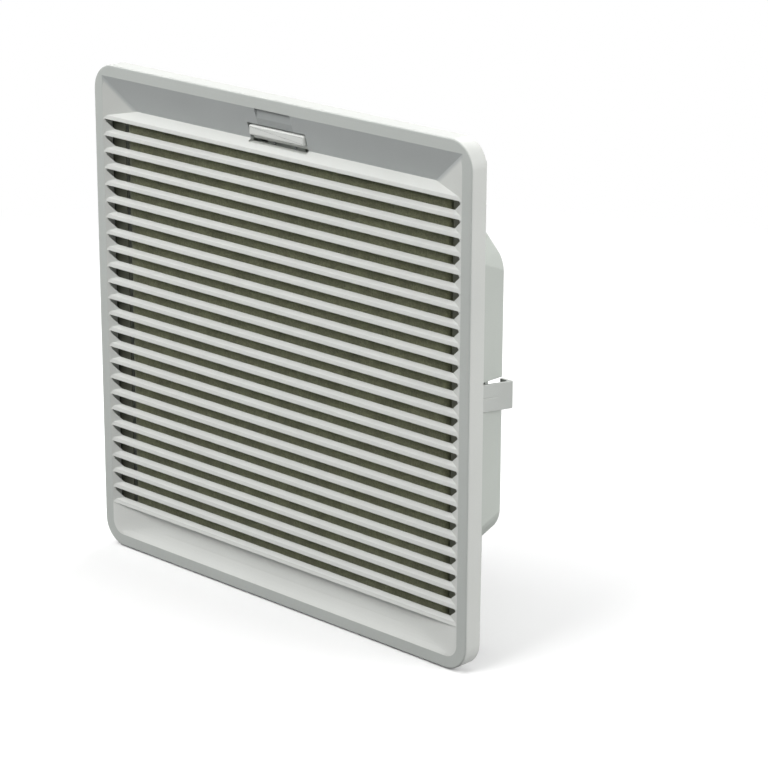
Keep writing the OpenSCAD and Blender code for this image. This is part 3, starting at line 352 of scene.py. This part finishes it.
def laminated(name, color, blued_color):
    """Stacked electrical sheet: a fine line for each sheet along Y, and a blued, uneven tone."""
    sheet = 0.0005
    wave_scale = math.pi / (10 * sheet)
    made = Finish(name, color, roughness=0.42, metallic=1.0)
    bands = made.add("ShaderNodeTexWave", {"wave_type": "BANDS", "bands_direction": "Y"},
                     Vector=made.place, Scale=wave_scale, Distortion=0.3)
    base = made.blend(made.ramp(made.noise(0.003, detail=4), 0.4, 0.7), color, blued_color)
    made.colored(made.shade(bands.outputs["Fac"], 0.55, 1.1, base))
    made.roughened(made.noise(0.001), swing=0.08)
    made.bumped((bands.outputs["Fac"], 0.05 * MM))
    return made.material


def rubbery(name, color, roughness=0.6, grain=0.01 * MM):
    """Rubber or soft insulation: a dull skin with fine lumps and a little grey bloom."""
    bloom_share = 0.2
    bloom_grey = 0.5
    made = Finish(name, color, roughness)
    bloom = made.ramp(made.noise(0.006, detail=4), 0.45, 0.8)
    red, green, blue = [(1 - bloom_share) * value + bloom_share * bloom_grey for value in color[:3]]
    base = made.blend(bloom, color, (red, green, blue, 1.0))
    made.colored(made.shade(made.noise(0.0005, detail=2), 0.93, 1.06, base))
    made.roughened(made.noise(0.002), swing=0.08)
    made.bumped((made.noise(0.0004), grain))
    return made.material


def foamed(name, color, wall_color):
    """Closed-cell foam: skinned cells of about half a millimetre."""
    cell = 0.0006
    made = Finish(name, color, roughness=0.85)
    cells = made.add("ShaderNodeTexVoronoi", {"feature": "DISTANCE_TO_EDGE"},
                     Vector=made.place, Scale=1 / cell)
    inside = made.ramp(cells.outputs["Distance"], 0.0, 0.25)
    base = made.blend(inside, wall_color, color)
    made.colored(made.shade(made.noise(0.003), 0.85, 1.15, base))
    made.bumped((inside, -0.05 * MM), (made.noise(0.002), 0.1 * MM))
    return made.material


def fleecy(name, color):
    """Bonded polyester fleece: crossing fibres, loose and tight places and a soft sheen."""
    fibre = 0.0009
    made = Finish(name, color, roughness=0.95)
    fibres = made.noise(fibre, detail=5, roughness=0.7, place=made.stretched(0.5, 1, 1.3))
    crossing = made.noise(fibre, detail=5, roughness=0.7, place=made.stretched(1.3, 1, 0.5))
    clumps = made.noise(0.009, detail=4)
    toned = made.shade(clumps, 0.75, 1.2)
    toned = made.shade(fibres, 0.72, 1.22, toned)
    made.colored(made.shade(crossing, 0.72, 1.22, toned))
    made.bumped((fibres, 0.3 * MM), (crossing, 0.3 * MM))
    made.shader.inputs["Sheen Weight"].default_value = 0.3
    made.shader.inputs["Sheen Roughness"].default_value = 0.6
    return made.material


def copper_wire(name, color):
    """Enamelled copper wire: a clear amber lacquer over drawn copper."""
    made = Finish(name, color, roughness=0.28, metallic=1.0)
    made.colored(made.shade(made.noise(0.002, detail=4), 0.75, 1.15))
    made.roughened(made.noise(0.0008), swing=0.08)
    made.shader.inputs["Coat Weight"].default_value = 0.6
    made.shader.inputs["Coat Roughness"].default_value = 0.12
    made.bumped((made.noise(0.0004, detail=2), 0.01 * MM))
    return made.material


def lead_insulation(name, color):
    """The glossier and finer rubber of a lead."""
    return rubbery(name, color, roughness=0.42, grain=0.004 * MM)


FINISHES = {
    # The cover's rim, recess and notch colours are painted shade, and its dish colour is painted light
    "cover_plastic": cover_moulded("pale_grey_cover_plastic", paint(206, 208, 204),
                                   rim_shade_color=paint(193, 197, 193), recess_shade_color=paint(176, 180, 179),
                                   notch_shade_color=paint(162, 166, 165), dish_light_color=paint(224, 226, 222)),
    # The frame's face colour is painted shade
    "frame_plastic": frame_moulded("grey_frame_plastic", paint(186, 191, 185),
                                   face_shade_color=paint(106, 108, 94)),
    "latch_plastic": moulded("glossy_latch_plastic", paint(224, 226, 222), 0.22, grain=0.002 * MM),
    "clip_plastic": moulded("satin_clip_plastic", paint(196, 199, 195), 0.36),
    "filter_fleece": fleecy("olive_filter_fleece", paint(132, 135, 104)),
    "foam": foamed("black_gasket_foam", paint(40, 40, 42), wall_color=paint(70, 70, 72)),
    "zinc_steel": plated("zinc_plated_steel", paint(196, 200, 206), paint(178, 186, 190), 0.32),
    "spring_steel": plated("bright_spring_wire", paint(188, 190, 194), paint(188, 190, 194), 0.22),
    "fan_casting": painted_casting("black_painted_casting", paint(34, 34, 36),
                                   dust_color=paint(62, 62, 63)),
    "blade_plastic": moulded("black_blade_plastic", paint(30, 30, 32), 0.45, grain=0.01 * MM, shift=0.08),
    "rotor_steel": turned("drawn_rotor_steel", paint(170, 172, 176), 0.34),
    "rotor_aluminium": turned("cast_rotor_aluminium", paint(204, 206, 208), 0.38, step=0.0006),
    "core_steel": laminated("laminated_core_steel", paint(120, 123, 130), blued_color=paint(96, 104, 120)),
    "coil_copper": copper_wire("enamelled_copper_wire", paint(188, 106, 62)),
    "former_plastic": moulded("white_former_plastic", paint(232, 231, 224), 0.45),
    "cap_rubber": rubbery("black_cap_rubber", paint(32, 32, 33)),
    "block_plastic": moulded("dark_grey_block_plastic", paint(86, 88, 92), 0.45, shift=0.05),
    "terminal_brass": plated("plated_brass", paint(196, 176, 118), paint(176, 150, 92)),
    "lead_brown": lead_insulation("brown_insulation", paint(98, 60, 34)),
    "lead_blue": lead_insulation("blue_insulation", paint(34, 82, 150)),
    "lead_green": lead_insulation("green_insulation", paint(66, 130, 52)),
}


# Making pieces

def merged(node):
    """A bmesh of a CAD node's solid with its doubles merged and its flat faces joined."""
    bm = bmesh.new()
    bm.from_mesh(NODES[node].data)
    bmesh.ops.remove_doubles(bm, verts=bm.verts, dist=MERGE)
    bmesh.ops.dissolve_limit(bm, angle_limit=FLAT, verts=bm.verts, edges=bm.edges)
    return bm


def rounded(bm, edges, width, segments=2):
    """Rounds some of a bmesh's edges over."""
    bmesh.ops.bevel(bm, geom=edges, offset=width, offset_type="OFFSET", affect="EDGES", segments=segments,
                    profile=0.5, material=-1, clamp_overlap=False)


def sharp_edges(bm):
    return [edge for edge in bm.edges if edge.is_manifold and edge.calc_face_angle() > SHARP]


def cut(bm, faces, axis, place):
    """Cuts some of a bmesh's faces along a plane square to an axis."""
    edges = {edge for face in faces for edge in face.edges}
    verts = {vert for face in faces for vert in face.verts}
    normal = Vector((0, 0, 0))
    normal[axis] = 1
    bmesh.ops.bisect_plane(bm, geom=[*verts, *edges, *faces], dist=MERGE, plane_co=normal * place,
                           plane_no=normal)


def sliced(bm, axis, places):
    """Cuts all of a bmesh along planes square to an axis, at each of some places on it."""
    for place in places:
        cut(bm, bm.faces[:], axis, place)


def middle(edge):
    return (edge.verts[0].co + edge.verts[1].co) / 2


def direction(edge):
    return (edge.verts[1].co - edge.verts[0].co).normalized()


def box_of(node):
    """A node's lowest and highest corners as vectors."""
    low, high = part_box(node)
    return Vector(low), Vector(high)


def piece(name, bm, node):
    """A finished piece that stands for a CAD node and has that node's body and finish."""
    mesh = bpy.data.meshes.new(name)
    bm.to_mesh(mesh)
    bm.free()
    mesh.shade_smooth()
    made = bpy.data.objects.new(name, mesh)
    bpy.context.scene.collection.objects.link(made)
    mesh.materials.append(FINISHES[SLOTS[node]])
    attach(made, BODIES[node])
    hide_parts(node)
    return made


def crisp_piece(name, bm, node):
    """A piece whose flat faces are shaded flat, while the rounded edges between them catch the light."""
    modifier = piece(name, bm, node).modifiers.new("weighted_normals", "WEIGHTED_NORMAL")
    modifier.mode = "FACE_AREA"
    modifier.weight = 100
    modifier.keep_sharp = True


# The cover

def at_outline(place, high, reach):
    """Whether a place lies within a reach of the cover's outline, as it is seen from the front."""
    straight = high.x - COVER_CORNER_R
    corner = math.hypot(max(0, abs(place.x) - straight), max(0, abs(place.z) - straight))
    return max(abs(place.x), abs(place.z)) > high.x - reach or corner > COVER_CORNER_R - reach


def on_outline(place, high, y):
    """Whether a place lies on the cover's outline, at a depth."""
    return abs(place.y - y) <= PLAY and at_outline(place, high, PLAY)


def on_round(place, high):
    """Whether a place lies on the rounding of the cover's outer front edge."""
    reach = 1.05 * COVER_ROUND
    return place.y <= FRONT_Y + reach and at_outline(place, high, reach)


def soft_fold(edge):
    """Whether an edge is a real fold of the moulding, not a facet of a round face."""
    straight_facet = math.radians(11)
    slanting_facet = math.radians(12.5)
    along = 0.99
    run = direction(edge)
    along_axis = max(abs(run.x), abs(run.y)) > along
    return edge.calc_face_angle() > (straight_facet if along_axis else slanting_facet)


def dish_depth(place):
    """The depths of the dished panel below the louvres, from its arc and from its sloping end."""
    run = RIM_EDGE + DISH_BEND_Z
    arc_r = (run ** 2 + DISH_D ** 2) / (2 * DISH_D)
    drop = min(max(DISH_BEND_Z - place.z, 0), run)
    arc = DISH_D - arc_r + math.sqrt(arc_r ** 2 - drop ** 2)
    end = (RIM_EDGE - abs(place.x)) * DISH_D / DISH_END
    return arc, end


def cut_dish(bm):
    """Cuts the dished panel upright, and near its sloping ends level too, so that it can bend there."""
    step_x = 2.5 * MM
    step_z = 1.4 * MM
    behind_front = 0.01 * MM
    cuts = [(0, side * (RIM_EDGE - step_x * i)) for side in (-1, 1) for i in range(1, 16)]
    cuts += [(2, DISH_BEND_Z - step_z * i) for i in range(1, 10)]
    for axis, place in cuts:
        faces = []
        for face in bm.faces:
            centre = face.calc_center_median()
            in_depth = FRONT_Y + behind_front < centre.y < FRONT_Y + DISH_D + PLAY
            near_end = abs(centre.x) > RIM_EDGE - DISH_END - step_x
            if centre.z < DISH_BEND_Z and in_depth and (axis == 0 or near_end):
                faces.append(face)
        cut(bm, faces, axis, place)


def soften_dish(bm):
    """Lets the dished panel run smoothly into its sloping ends, where the solid has a crease."""
    crease = 1.1 * MM
    above_bend = 0.05 * MM
    behind_front = 0.02 * MM
    off_dish = 0.08 * MM
    cut_dish(bm)
    for vert in bm.verts:
        depth = vert.co.y - FRONT_Y
        if vert.co.z > DISH_BEND_Z + above_bend or depth < behind_front or abs(vert.co.x) > RIM_EDGE:
            continue
        arc, end = dish_depth(vert.co)
        if abs(depth - min(arc, end)) < off_dish:
            smooth = (arc + end - math.sqrt((arc - end) ** 2 + crease ** 2)) / 2
            vert.co.y = FRONT_Y + max(smooth, 0)


def make_cover():
    """The louvred front: a wide round on its outer front edge, small ones on every fold inside it."""
    fold_round = 0.15 * MM
    high = box_of("front_cover")[1]
    bm = merged("front_cover")
    straight = high.x - COVER_CORNER_R
    for axis in (0, 2):
        sliced(bm, axis, (-straight, straight))
    soften_dish(bm)
    outer = [edge for edge in sharp_edges(bm) if on_outline(middle(edge), high, FRONT_Y)]
    rounded(bm, outer, COVER_ROUND, 3)
    folds = []
    for edge in bm.edges:
        place = middle(edge)
        at_front_edge = on_outline(place, high, FRONT_Y + COVER_ROUND) or on_round(place, high)
        if edge.is_manifold and not at_front_edge and soft_fold(edge):
            folds.append(edge)
    rounded(bm, folds, fold_round, 1)
    crisp_piece("louvred_front", bm, "front_cover")


# The frame, its mat and its gasket

def wall_bends(bm):
    """The long outer edges along Y where two of the housing's walls meet at 45 degrees."""
    shortest = 8 * MM
    bend = math.radians(45)
    bend_play = 0.05
    along = 0.999
    found = []
    for edge in bm.edges:
        if not edge.is_manifold or not edge.is_convex or edge.calc_length() < shortest:
            continue
        if abs(direction(edge).y) > along and abs(edge.calc_face_angle() - bend) < bend_play:
            found.append(edge)
    return found


def make_frame():
    """The frame: wide bends where the housing's walls turn into its cut-off corners, other edges fine."""
    bend_round = 5 * MM
    bm = merged("base_frame")
    rounded(bm, wall_bends(bm), bend_round, 8)
    rounded(bm, sharp_edges(bm), FINE_ROUND)
    crisp_piece("snap_in_frame", bm, "base_frame")


def fleece_block(low, high, cell):
    """A block with even cells in front and behind, and cuts through its thickness."""
    layers = (0.08, 0.25, 0.5, 0.75, 0.92)
    size = high - low
    bm = bmesh.new()
    upright = Matrix.Rotation(math.radians(90), 4, "X")
    bmesh.ops.create_grid(bm, x_segments=round(size.x / cell), y_segments=round(size.z / cell), size=0.5,
                          matrix=upright)
    bmesh.ops.scale(bm, vec=(size.x, 1, size.z), verts=bm.verts)
    bmesh.ops.translate(bm, vec=((low.x + high.x) / 2, low.y, (low.z + high.z) / 2), verts=bm.verts)
    rear = bmesh.ops.extrude_face_region(bm, geom=bm.faces[:])
    moved = [part for part in rear["geom"] if isinstance(part, bmesh.types.BMVert)]
    bmesh.ops.translate(bm, vec=(0, size.y, 0), verts=moved)
    sliced(bm, 1, [low.y + size.y * share for share in layers])
    bmesh.ops.recalc_face_normals(bm, faces=bm.faces)
    return bm


def make_mat():
    """The filter mat: a springy fleece block with a lumpy face and soft edges."""
    low, high = box_of("filter_mat")
    cell = 2.6 * MM
    soft_edge = 2.5 * MM
    edge_drop = 0.3 * soft_edge
    lump_depth = 0.9 * MM
    wide_lump = 9 * MM
    small_lump = 5 * MM
    edge_wave = 6 * MM
    edge_pull = 0.35 * MM
    centre = (low + high) / 2
    half_depth = (high.y - low.y) / 2
    bm = fleece_block(low, high, cell)
    for vert in bm.verts:
        place = vert.co.copy()
        inset = min(place.x - low.x, high.x - place.x, place.z - low.z, high.z - place.z)
        depth = abs(place.y - centre.y) / half_depth
        round_in = max(0, 1 - inset / soft_edge) ** 2
        lumps = 0.5 + 0.5 * noise.noise(place / wide_lump) + 0.12 * noise.noise(place / small_lump)
        side = 1 if place.y > centre.y else -1
        vert.co.y -= side * depth * (lump_depth * max(0, lumps) + edge_drop * round_in)
        pull = edge_pull * (1 + noise.noise(place / edge_wave)) * max(0, 1 - inset / cell)
        vert.co.x += pull if place.x < centre.x else -pull
        vert.co.z += pull if place.z < centre.z else -pull
    piece("filter_fleece_mat", bm, "filter_mat")


def make_gasket():
    """The foam ring that seals the flange on the enclosure wall, with a slightly uneven skin."""
    low, high = box_of("flange_gasket")
    edge_round = 0.35 * MM
    step = 5 * MM
    uneven = 0.07 * MM
    wave_size = 4 * MM
    centre_y = (low.y + high.y) / 2
    count = int(high.x / step)
    bm = merged("flange_gasket")
    rounded(bm, sharp_edges(bm), edge_round)
    for axis in (0, 2):
        sliced(bm, axis, [step * i for i in range(-count, count + 1)])
    for vert in bm.verts:
        wave = noise.noise(vert.co / wave_size)
        vert.co.y += (centre_y - vert.co.y) * abs(wave) * uneven / (high.y - centre_y)
        vert.co.x -= math.copysign(uneven * (1 + wave) / 2, vert.co.x)
    piece("foam_gasket_ring", bm, "flange_gasket")


# The latch, its springs and the leads

LEAD_R = 1.3 * MM

# Each lead's way from the fan's side to its pole of the terminal block, in millimetres
LIVE_ROUTE = ((-56.5, 63, -44), (-59.5, 63, -44), (-63, 62.35, -44), (-66.5, 56, -41.25),
              (-67.8, 49.625, -38.5), (-67.8, 39.75, -34.375), (-71.5, 36.25, -33), (-75, 36.25, -33),
              (-81.5, 36.25, -33))
NEUTRAL_ROUTE = ((-56.5, 63, -36), (-59.5, 63, -36), (-63, 62.35, -36), (-66.5, 56, -33),
                 (-67.8, 49.625, -30), (-67.8, 39.75, -25.5), (-71.5, 36.25, -24), (-75, 36.25, -24),
                 (-81.5, 36.25, -24))
EARTH_ROUTE = ((-61.55, 63, 36.4), (-61.55, 63, 32.4), (-61.55, 62.35, 28.9), (-66.5, 56, 18.4),
               (-67.8, 49.625, 8.7), (-67.8, 39.75, -8), (-71.5, 36.25, -15), (-75, 36.25, -15),
               (-81.5, 36.25, -15))


def make_latch():
    """The latch: its thumb tab is a rounded bar, its plate and hooked arms have small rounds."""
    tab_round = 1.3 * MM
    in_front = 0.05 * MM
    behind_tab = 1.35 * MM
    front_y = box_of("latch_slider")[0].y
    bm = merged("latch_slider")
    tab = [edge for edge in sharp_edges(bm) if abs(middle(edge).y - front_y) < in_front]
    rounded(bm, tab, tab_round, 5)
    rest = [edge for edge in sharp_edges(bm) if middle(edge).y > front_y + behind_tab]
    rounded(bm, rest, FINE_ROUND)
    crisp_piece("latch_tab", bm, "latch_slider")


def make_springs():
    """The two coil springs under the latch, each one wire wound up from its seat."""
    low, high = box_of("latch_springs")
    wire_r = 0.18 * MM
    turns = 7
    steps = 20 * turns
    centre_y = (low.y + high.y) / 2
    coil_r = (high.y - low.y) / 2 - wire_r
    centre_x = high.x - coil_r - wire_r
    rise = high.z - low.z - 2 * wire_r
    bm = bmesh.new()
    for side in (-1, 1):
        start = Vector((side * centre_x + coil_r, centre_y, low.z + wire_r))
        upright = Matrix.Translation(start) @ Matrix.Rotation(math.radians(90), 4, "X")
        ring = bmesh.ops.create_circle(bm, segments=8, radius=wire_r, matrix=upright)
        edges = list({edge for vert in ring["verts"] for edge in vert.link_edges})
        bmesh.ops.spin(bm, geom=ring["verts"] + edges, cent=(side * centre_x, centre_y, 0), axis=(0, 0, 1),
                       dvec=(0, 0, rise / steps), angle=turns * math.tau, steps=steps)
    bmesh.ops.holes_fill(bm, edges=bm.edges)
    bmesh.ops.recalc_face_normals(bm, faces=bm.faces)
    made = piece("latch_spring_coils", bm, "latch_springs")
    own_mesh(made)


def smooth_line(route, steps=8):
    """A smooth curve through a route's points, in metres."""
    points = [Vector(point) * MM for point in route]
    last = len(points) - 1
    line = []
    for i in range(last):
        a, b, c, d = points[max(i - 1, 0)], points[i], points[i + 1], points[min(i + 2, last)]
        for j in range(steps):
            t = j / steps
            line.append((2 * b + (c - a) * t + (2 * a - 5 * b + 4 * c - d) * t ** 2
                         + (3 * b - a - 3 * c + d) * t ** 3) / 2)
    return line + [points[last]]


def tube_mesh(name, line):
    """The mesh of a round tube with closed ends along a line."""
    data = bpy.data.curves.new(name, "CURVE")
    data.dimensions = "3D"
    data.bevel_depth = LEAD_R
    data.bevel_resolution = 3
    data.use_fill_caps = True
    spline = data.splines.new("POLY")
    spline.points.add(len(line) - 1)
    for point, place in zip(spline.points, line):
        point.co = (*place, 1)
    shape = bpy.data.objects.new(name + "_line", data)
    bpy.context.scene.collection.objects.link(shape)
    mesh = bpy.data.meshes.new_from_object(shape.evaluated_get(bpy.context.evaluated_depsgraph_get()))
    bpy.data.objects.remove(shape)
    return mesh


def make_lead(node, name, route):
    """One insulated lead from the fan to its pole of the terminal block."""
    bm = bmesh.new()
    bm.from_mesh(tube_mesh(name, smooth_line(route)))
    bmesh.ops.remove_doubles(bm, verts=bm.verts, dist=MERGE)
    bmesh.ops.recalc_face_normals(bm, faces=bm.faces)
    piece(name, bm, node)


# Pieces that are their CAD solids with the edges rounded, as the real mouldings and pressings are:
# the node, the piece's name, the round's width in millimetres and its segments
DRESSED = (
    ("latch_retainer", "latch_plate", 0.2, 2),
    ("latch_screws", "latch_plate_screws", 0.06, 1),
    ("hinge_pins", "hinge_pin_pair", 0.12, 2),
    ("clip_right", "spring_clip_right", 0.2, 2),
    ("clip_left", "spring_clip_left", 0.2, 2),
    ("fan_housing", "fan_casting", 0.35, 2),
    ("impeller", "fan_impeller", 0.3, 2),
    ("rotor_cup", "rotor_can", 0.4, 3),
    ("fan_shaft", "rotor_shaft", 0.15, 2),
    ("hub_plug", "bearing_cap", 0.2, 2),
    ("stator_coils", "stator_windings", 0.45, 3),
    ("coil_former", "winding_formers", 0.1, 1),
    ("finger_guard", "wire_finger_guard", 0.05, 1),
    ("fan_screws", "fan_fixing_screws", 0.12, 2),
    ("fan_nuts", "fan_fixing_nuts", 0.12, 1),
    ("terminal_block", "connection_block", 0.3, 2),
    ("terminal_screws", "clamp_screws", 0.12, 1),
    ("block_screws", "block_fixing_screws", 0.12, 1),
    ("earth_lug", "earth_ring_lug", 0.08, 1),
    ("earth_screw", "earth_terminal_screw", 0.12, 1),
)

make_cover()
make_mat()
make_gasket()
make_springs()
make_lead("live_lead", "brown_live_lead", LIVE_ROUTE)
make_lead("neutral_lead", "blue_neutral_lead", NEUTRAL_ROUTE)
make_lead("earth_lead", "green_earth_lead", EARTH_ROUTE)
make_frame()
make_latch()

for node, name, width, segments in DRESSED:
    solid = merged(node)
    rounded(solid, sharp_edges(solid), width * MM, segments)
    crisp_piece(name, solid, node)

for node, obj in NODES.items():
    obj.data.materials.clear()
    obj.data.materials.append(FINISHES[SLOTS[node]])


# Camera, light and floor

# The photograph's view, fitted to the straight edges of the cover: metres, degrees and millimetres
CAMERA_PLACE = (0.93012, -0.90819, 0.40482)
CAMERA_TURN = (72.1, -0.207, 43.743)
CAMERA_LENS = 133.87
CAMERA_SENSOR = 36

# Square soft lights: the name, the way to it from the object, its size in metres and its level
LAMP_DISTANCE = 1.6
LAMPS = (
    ("front_softbox", (-0.1, -0.7, 0.7), 0.9, 0.55),
    ("top_softbox", (0.05, 0.1, 1), 1.0, 0.2),
    ("left_softbox", (-0.62, -0.3, 0.72), 0.9, 0.4),
    ("right_softbox", (0.92, 0.35, 0.25), 0.9, 0.66),
    ("rear_softbox", (-0.2, 0.85, 0.45), 0.9, 0.5),
)
WORLD_FILL = 0.3

# The floor's shadow shows within SHADOW_REACH of the object and has faded away at twice that
FLOOR_HALF = 4
FLOOR_GAP = 0.6 * MM
FLOOR_SEEN = paint(252, 252, 252)
FLOOR_BOUNCE = paint(97, 97, 97)
SHADOW_REACH = 0.4


def make_camera():
    data = bpy.data.cameras.new("photo_camera")
    data.sensor_width = CAMERA_SENSOR
    data.lens = CAMERA_LENS
    made = bpy.data.objects.new("photo_camera", data)
    made.location = CAMERA_PLACE
    made.rotation_euler = [math.radians(angle) for angle in CAMERA_TURN]
    bpy.context.scene.collection.objects.link(made)
    bpy.context.scene.camera = made


def make_lamp(name, way, size, level):
    """A soft light aimed at the object. Its level is what it adds on a face turned to it."""
    data = bpy.data.lights.new(name, "AREA")
    data.size = size
    data.energy = level * (math.pi * LAMP_DISTANCE) ** 2
    made = bpy.data.objects.new(name, data)
    toward = Vector(way).normalized()
    turn = toward.to_track_quat("Z", "Y").to_matrix().to_4x4()
    made.matrix_world = Matrix.Translation(toward * LAMP_DISTANCE) @ turn
    bpy.context.scene.collection.objects.link(made)


def seen_rays(nodes, links):
    """1 for rays from the camera, off gloss and through glass, which see the white background."""
    path = nodes.new("ShaderNodeLightPath")
    total = path.outputs["Is Camera Ray"]
    for name in ("Is Glossy Ray", "Is Transmission Ray"):
        made = nodes.new("ShaderNodeMath")
        made.operation = "MAXIMUM"
        links.new(total, made.inputs[0])
        links.new(path.outputs[name], made.inputs[1])
        total = made.outputs[0]
    return total


def either(nodes, links, share, first, second):
    """One shader's output turning into another's as a share goes from 0 to 1."""
    mix = nodes.new("ShaderNodeMixShader")
    links.new(share, mix.inputs["Fac"])
    links.new(first, mix.inputs[1])
    links.new(second, mix.inputs[2])
    return mix.outputs[0]


def make_world():
    """Even light from all round, which the camera sees as a white background."""
    world = bpy.data.worlds.new("studio")
    bpy.context.scene.world = world
    world.use_nodes = True
    nodes, links = world.node_tree.nodes, world.node_tree.links
    nodes.clear()
    backgrounds = []
    for strength in (WORLD_FILL, 1):
        made = nodes.new("ShaderNodeBackground")
        made.inputs["Color"].default_value = WHITE
        made.inputs["Strength"].default_value = strength
        backgrounds.append(made.outputs[0])
    result = either(nodes, links, seen_rays(nodes, links), *backgrounds)
    links.new(result, nodes.new("ShaderNodeOutputWorld").inputs["Surface"])


def out_of_reach(nodes, links):
    """0 near the object and 1 where its shadow has faded away."""
    length = nodes.new("ShaderNodeVectorMath")
    length.operation = "LENGTH"
    links.new(nodes.new("ShaderNodeTexCoord").outputs["Object"], length.inputs[0])
    away = nodes.new("ShaderNodeMapRange")
    away.interpolation_type = "SMOOTHSTEP"
    away.inputs["From Min"].default_value = SHADOW_REACH
    away.inputs["From Max"].default_value = 2 * SHADOW_REACH
    links.new(length.outputs["Value"], away.inputs["Value"])
    return away.outputs["Result"]


def floor_material():
    """Near white to the camera and white far off, but dark to light that would bounce on to the object."""
    material = bpy.data.materials.new("pale_floor")
    material.use_nodes = True
    nodes, links = material.node_tree.nodes, material.node_tree.links
    seen = seen_rays(nodes, links)
    color = nodes.new("ShaderNodeMix")
    color.data_type = "RGBA"
    links.new(seen, color.inputs[MIX_SHARE])
    color.inputs[MIX_FIRST].default_value = FLOOR_BOUNCE
    color.inputs[MIX_SECOND].default_value = FLOOR_SEEN
    near = nodes["Principled BSDF"]
    near.inputs["Roughness"].default_value = 0.9
    near.inputs["Specular IOR Level"].default_value = 0.1
    links.new(color.outputs[MIX_RESULT], near.inputs["Base Color"])
    far = nodes.new("ShaderNodeEmission")
    far.inputs["Color"].default_value = WHITE
    share = nodes.new("ShaderNodeMath")
    share.operation = "MULTIPLY"
    links.new(out_of_reach(nodes, links), share.inputs[0])
    links.new(seen, share.inputs[1])
    result = either(nodes, links, share.outputs[0], near.outputs[0], far.outputs[0])
    links.new(result, nodes["Material Output"].inputs["Surface"])
    return material


def make_floor():
    """A plain floor just under the cover, on which the camera sees only the object's shadow."""
    bm = bmesh.new()
    bmesh.ops.create_grid(bm, x_segments=1, y_segments=1, size=FLOOR_HALF)
    bmesh.ops.translate(bm, vec=(0, 0, CAD_BOX[0][2] - FLOOR_GAP), verts=bm.verts)
    mesh = bpy.data.meshes.new("studio_floor")
    bm.to_mesh(mesh)
    bm.free()
    made = bpy.data.objects.new("studio_floor", mesh)
    bpy.context.scene.collection.objects.link(made)
    mesh.materials.append(floor_material())


make_camera()
make_world()
for lamp in LAMPS:
    make_lamp(*lamp)
make_floor()
bpy.context.scene.view_settings.view_transform = "Standard"
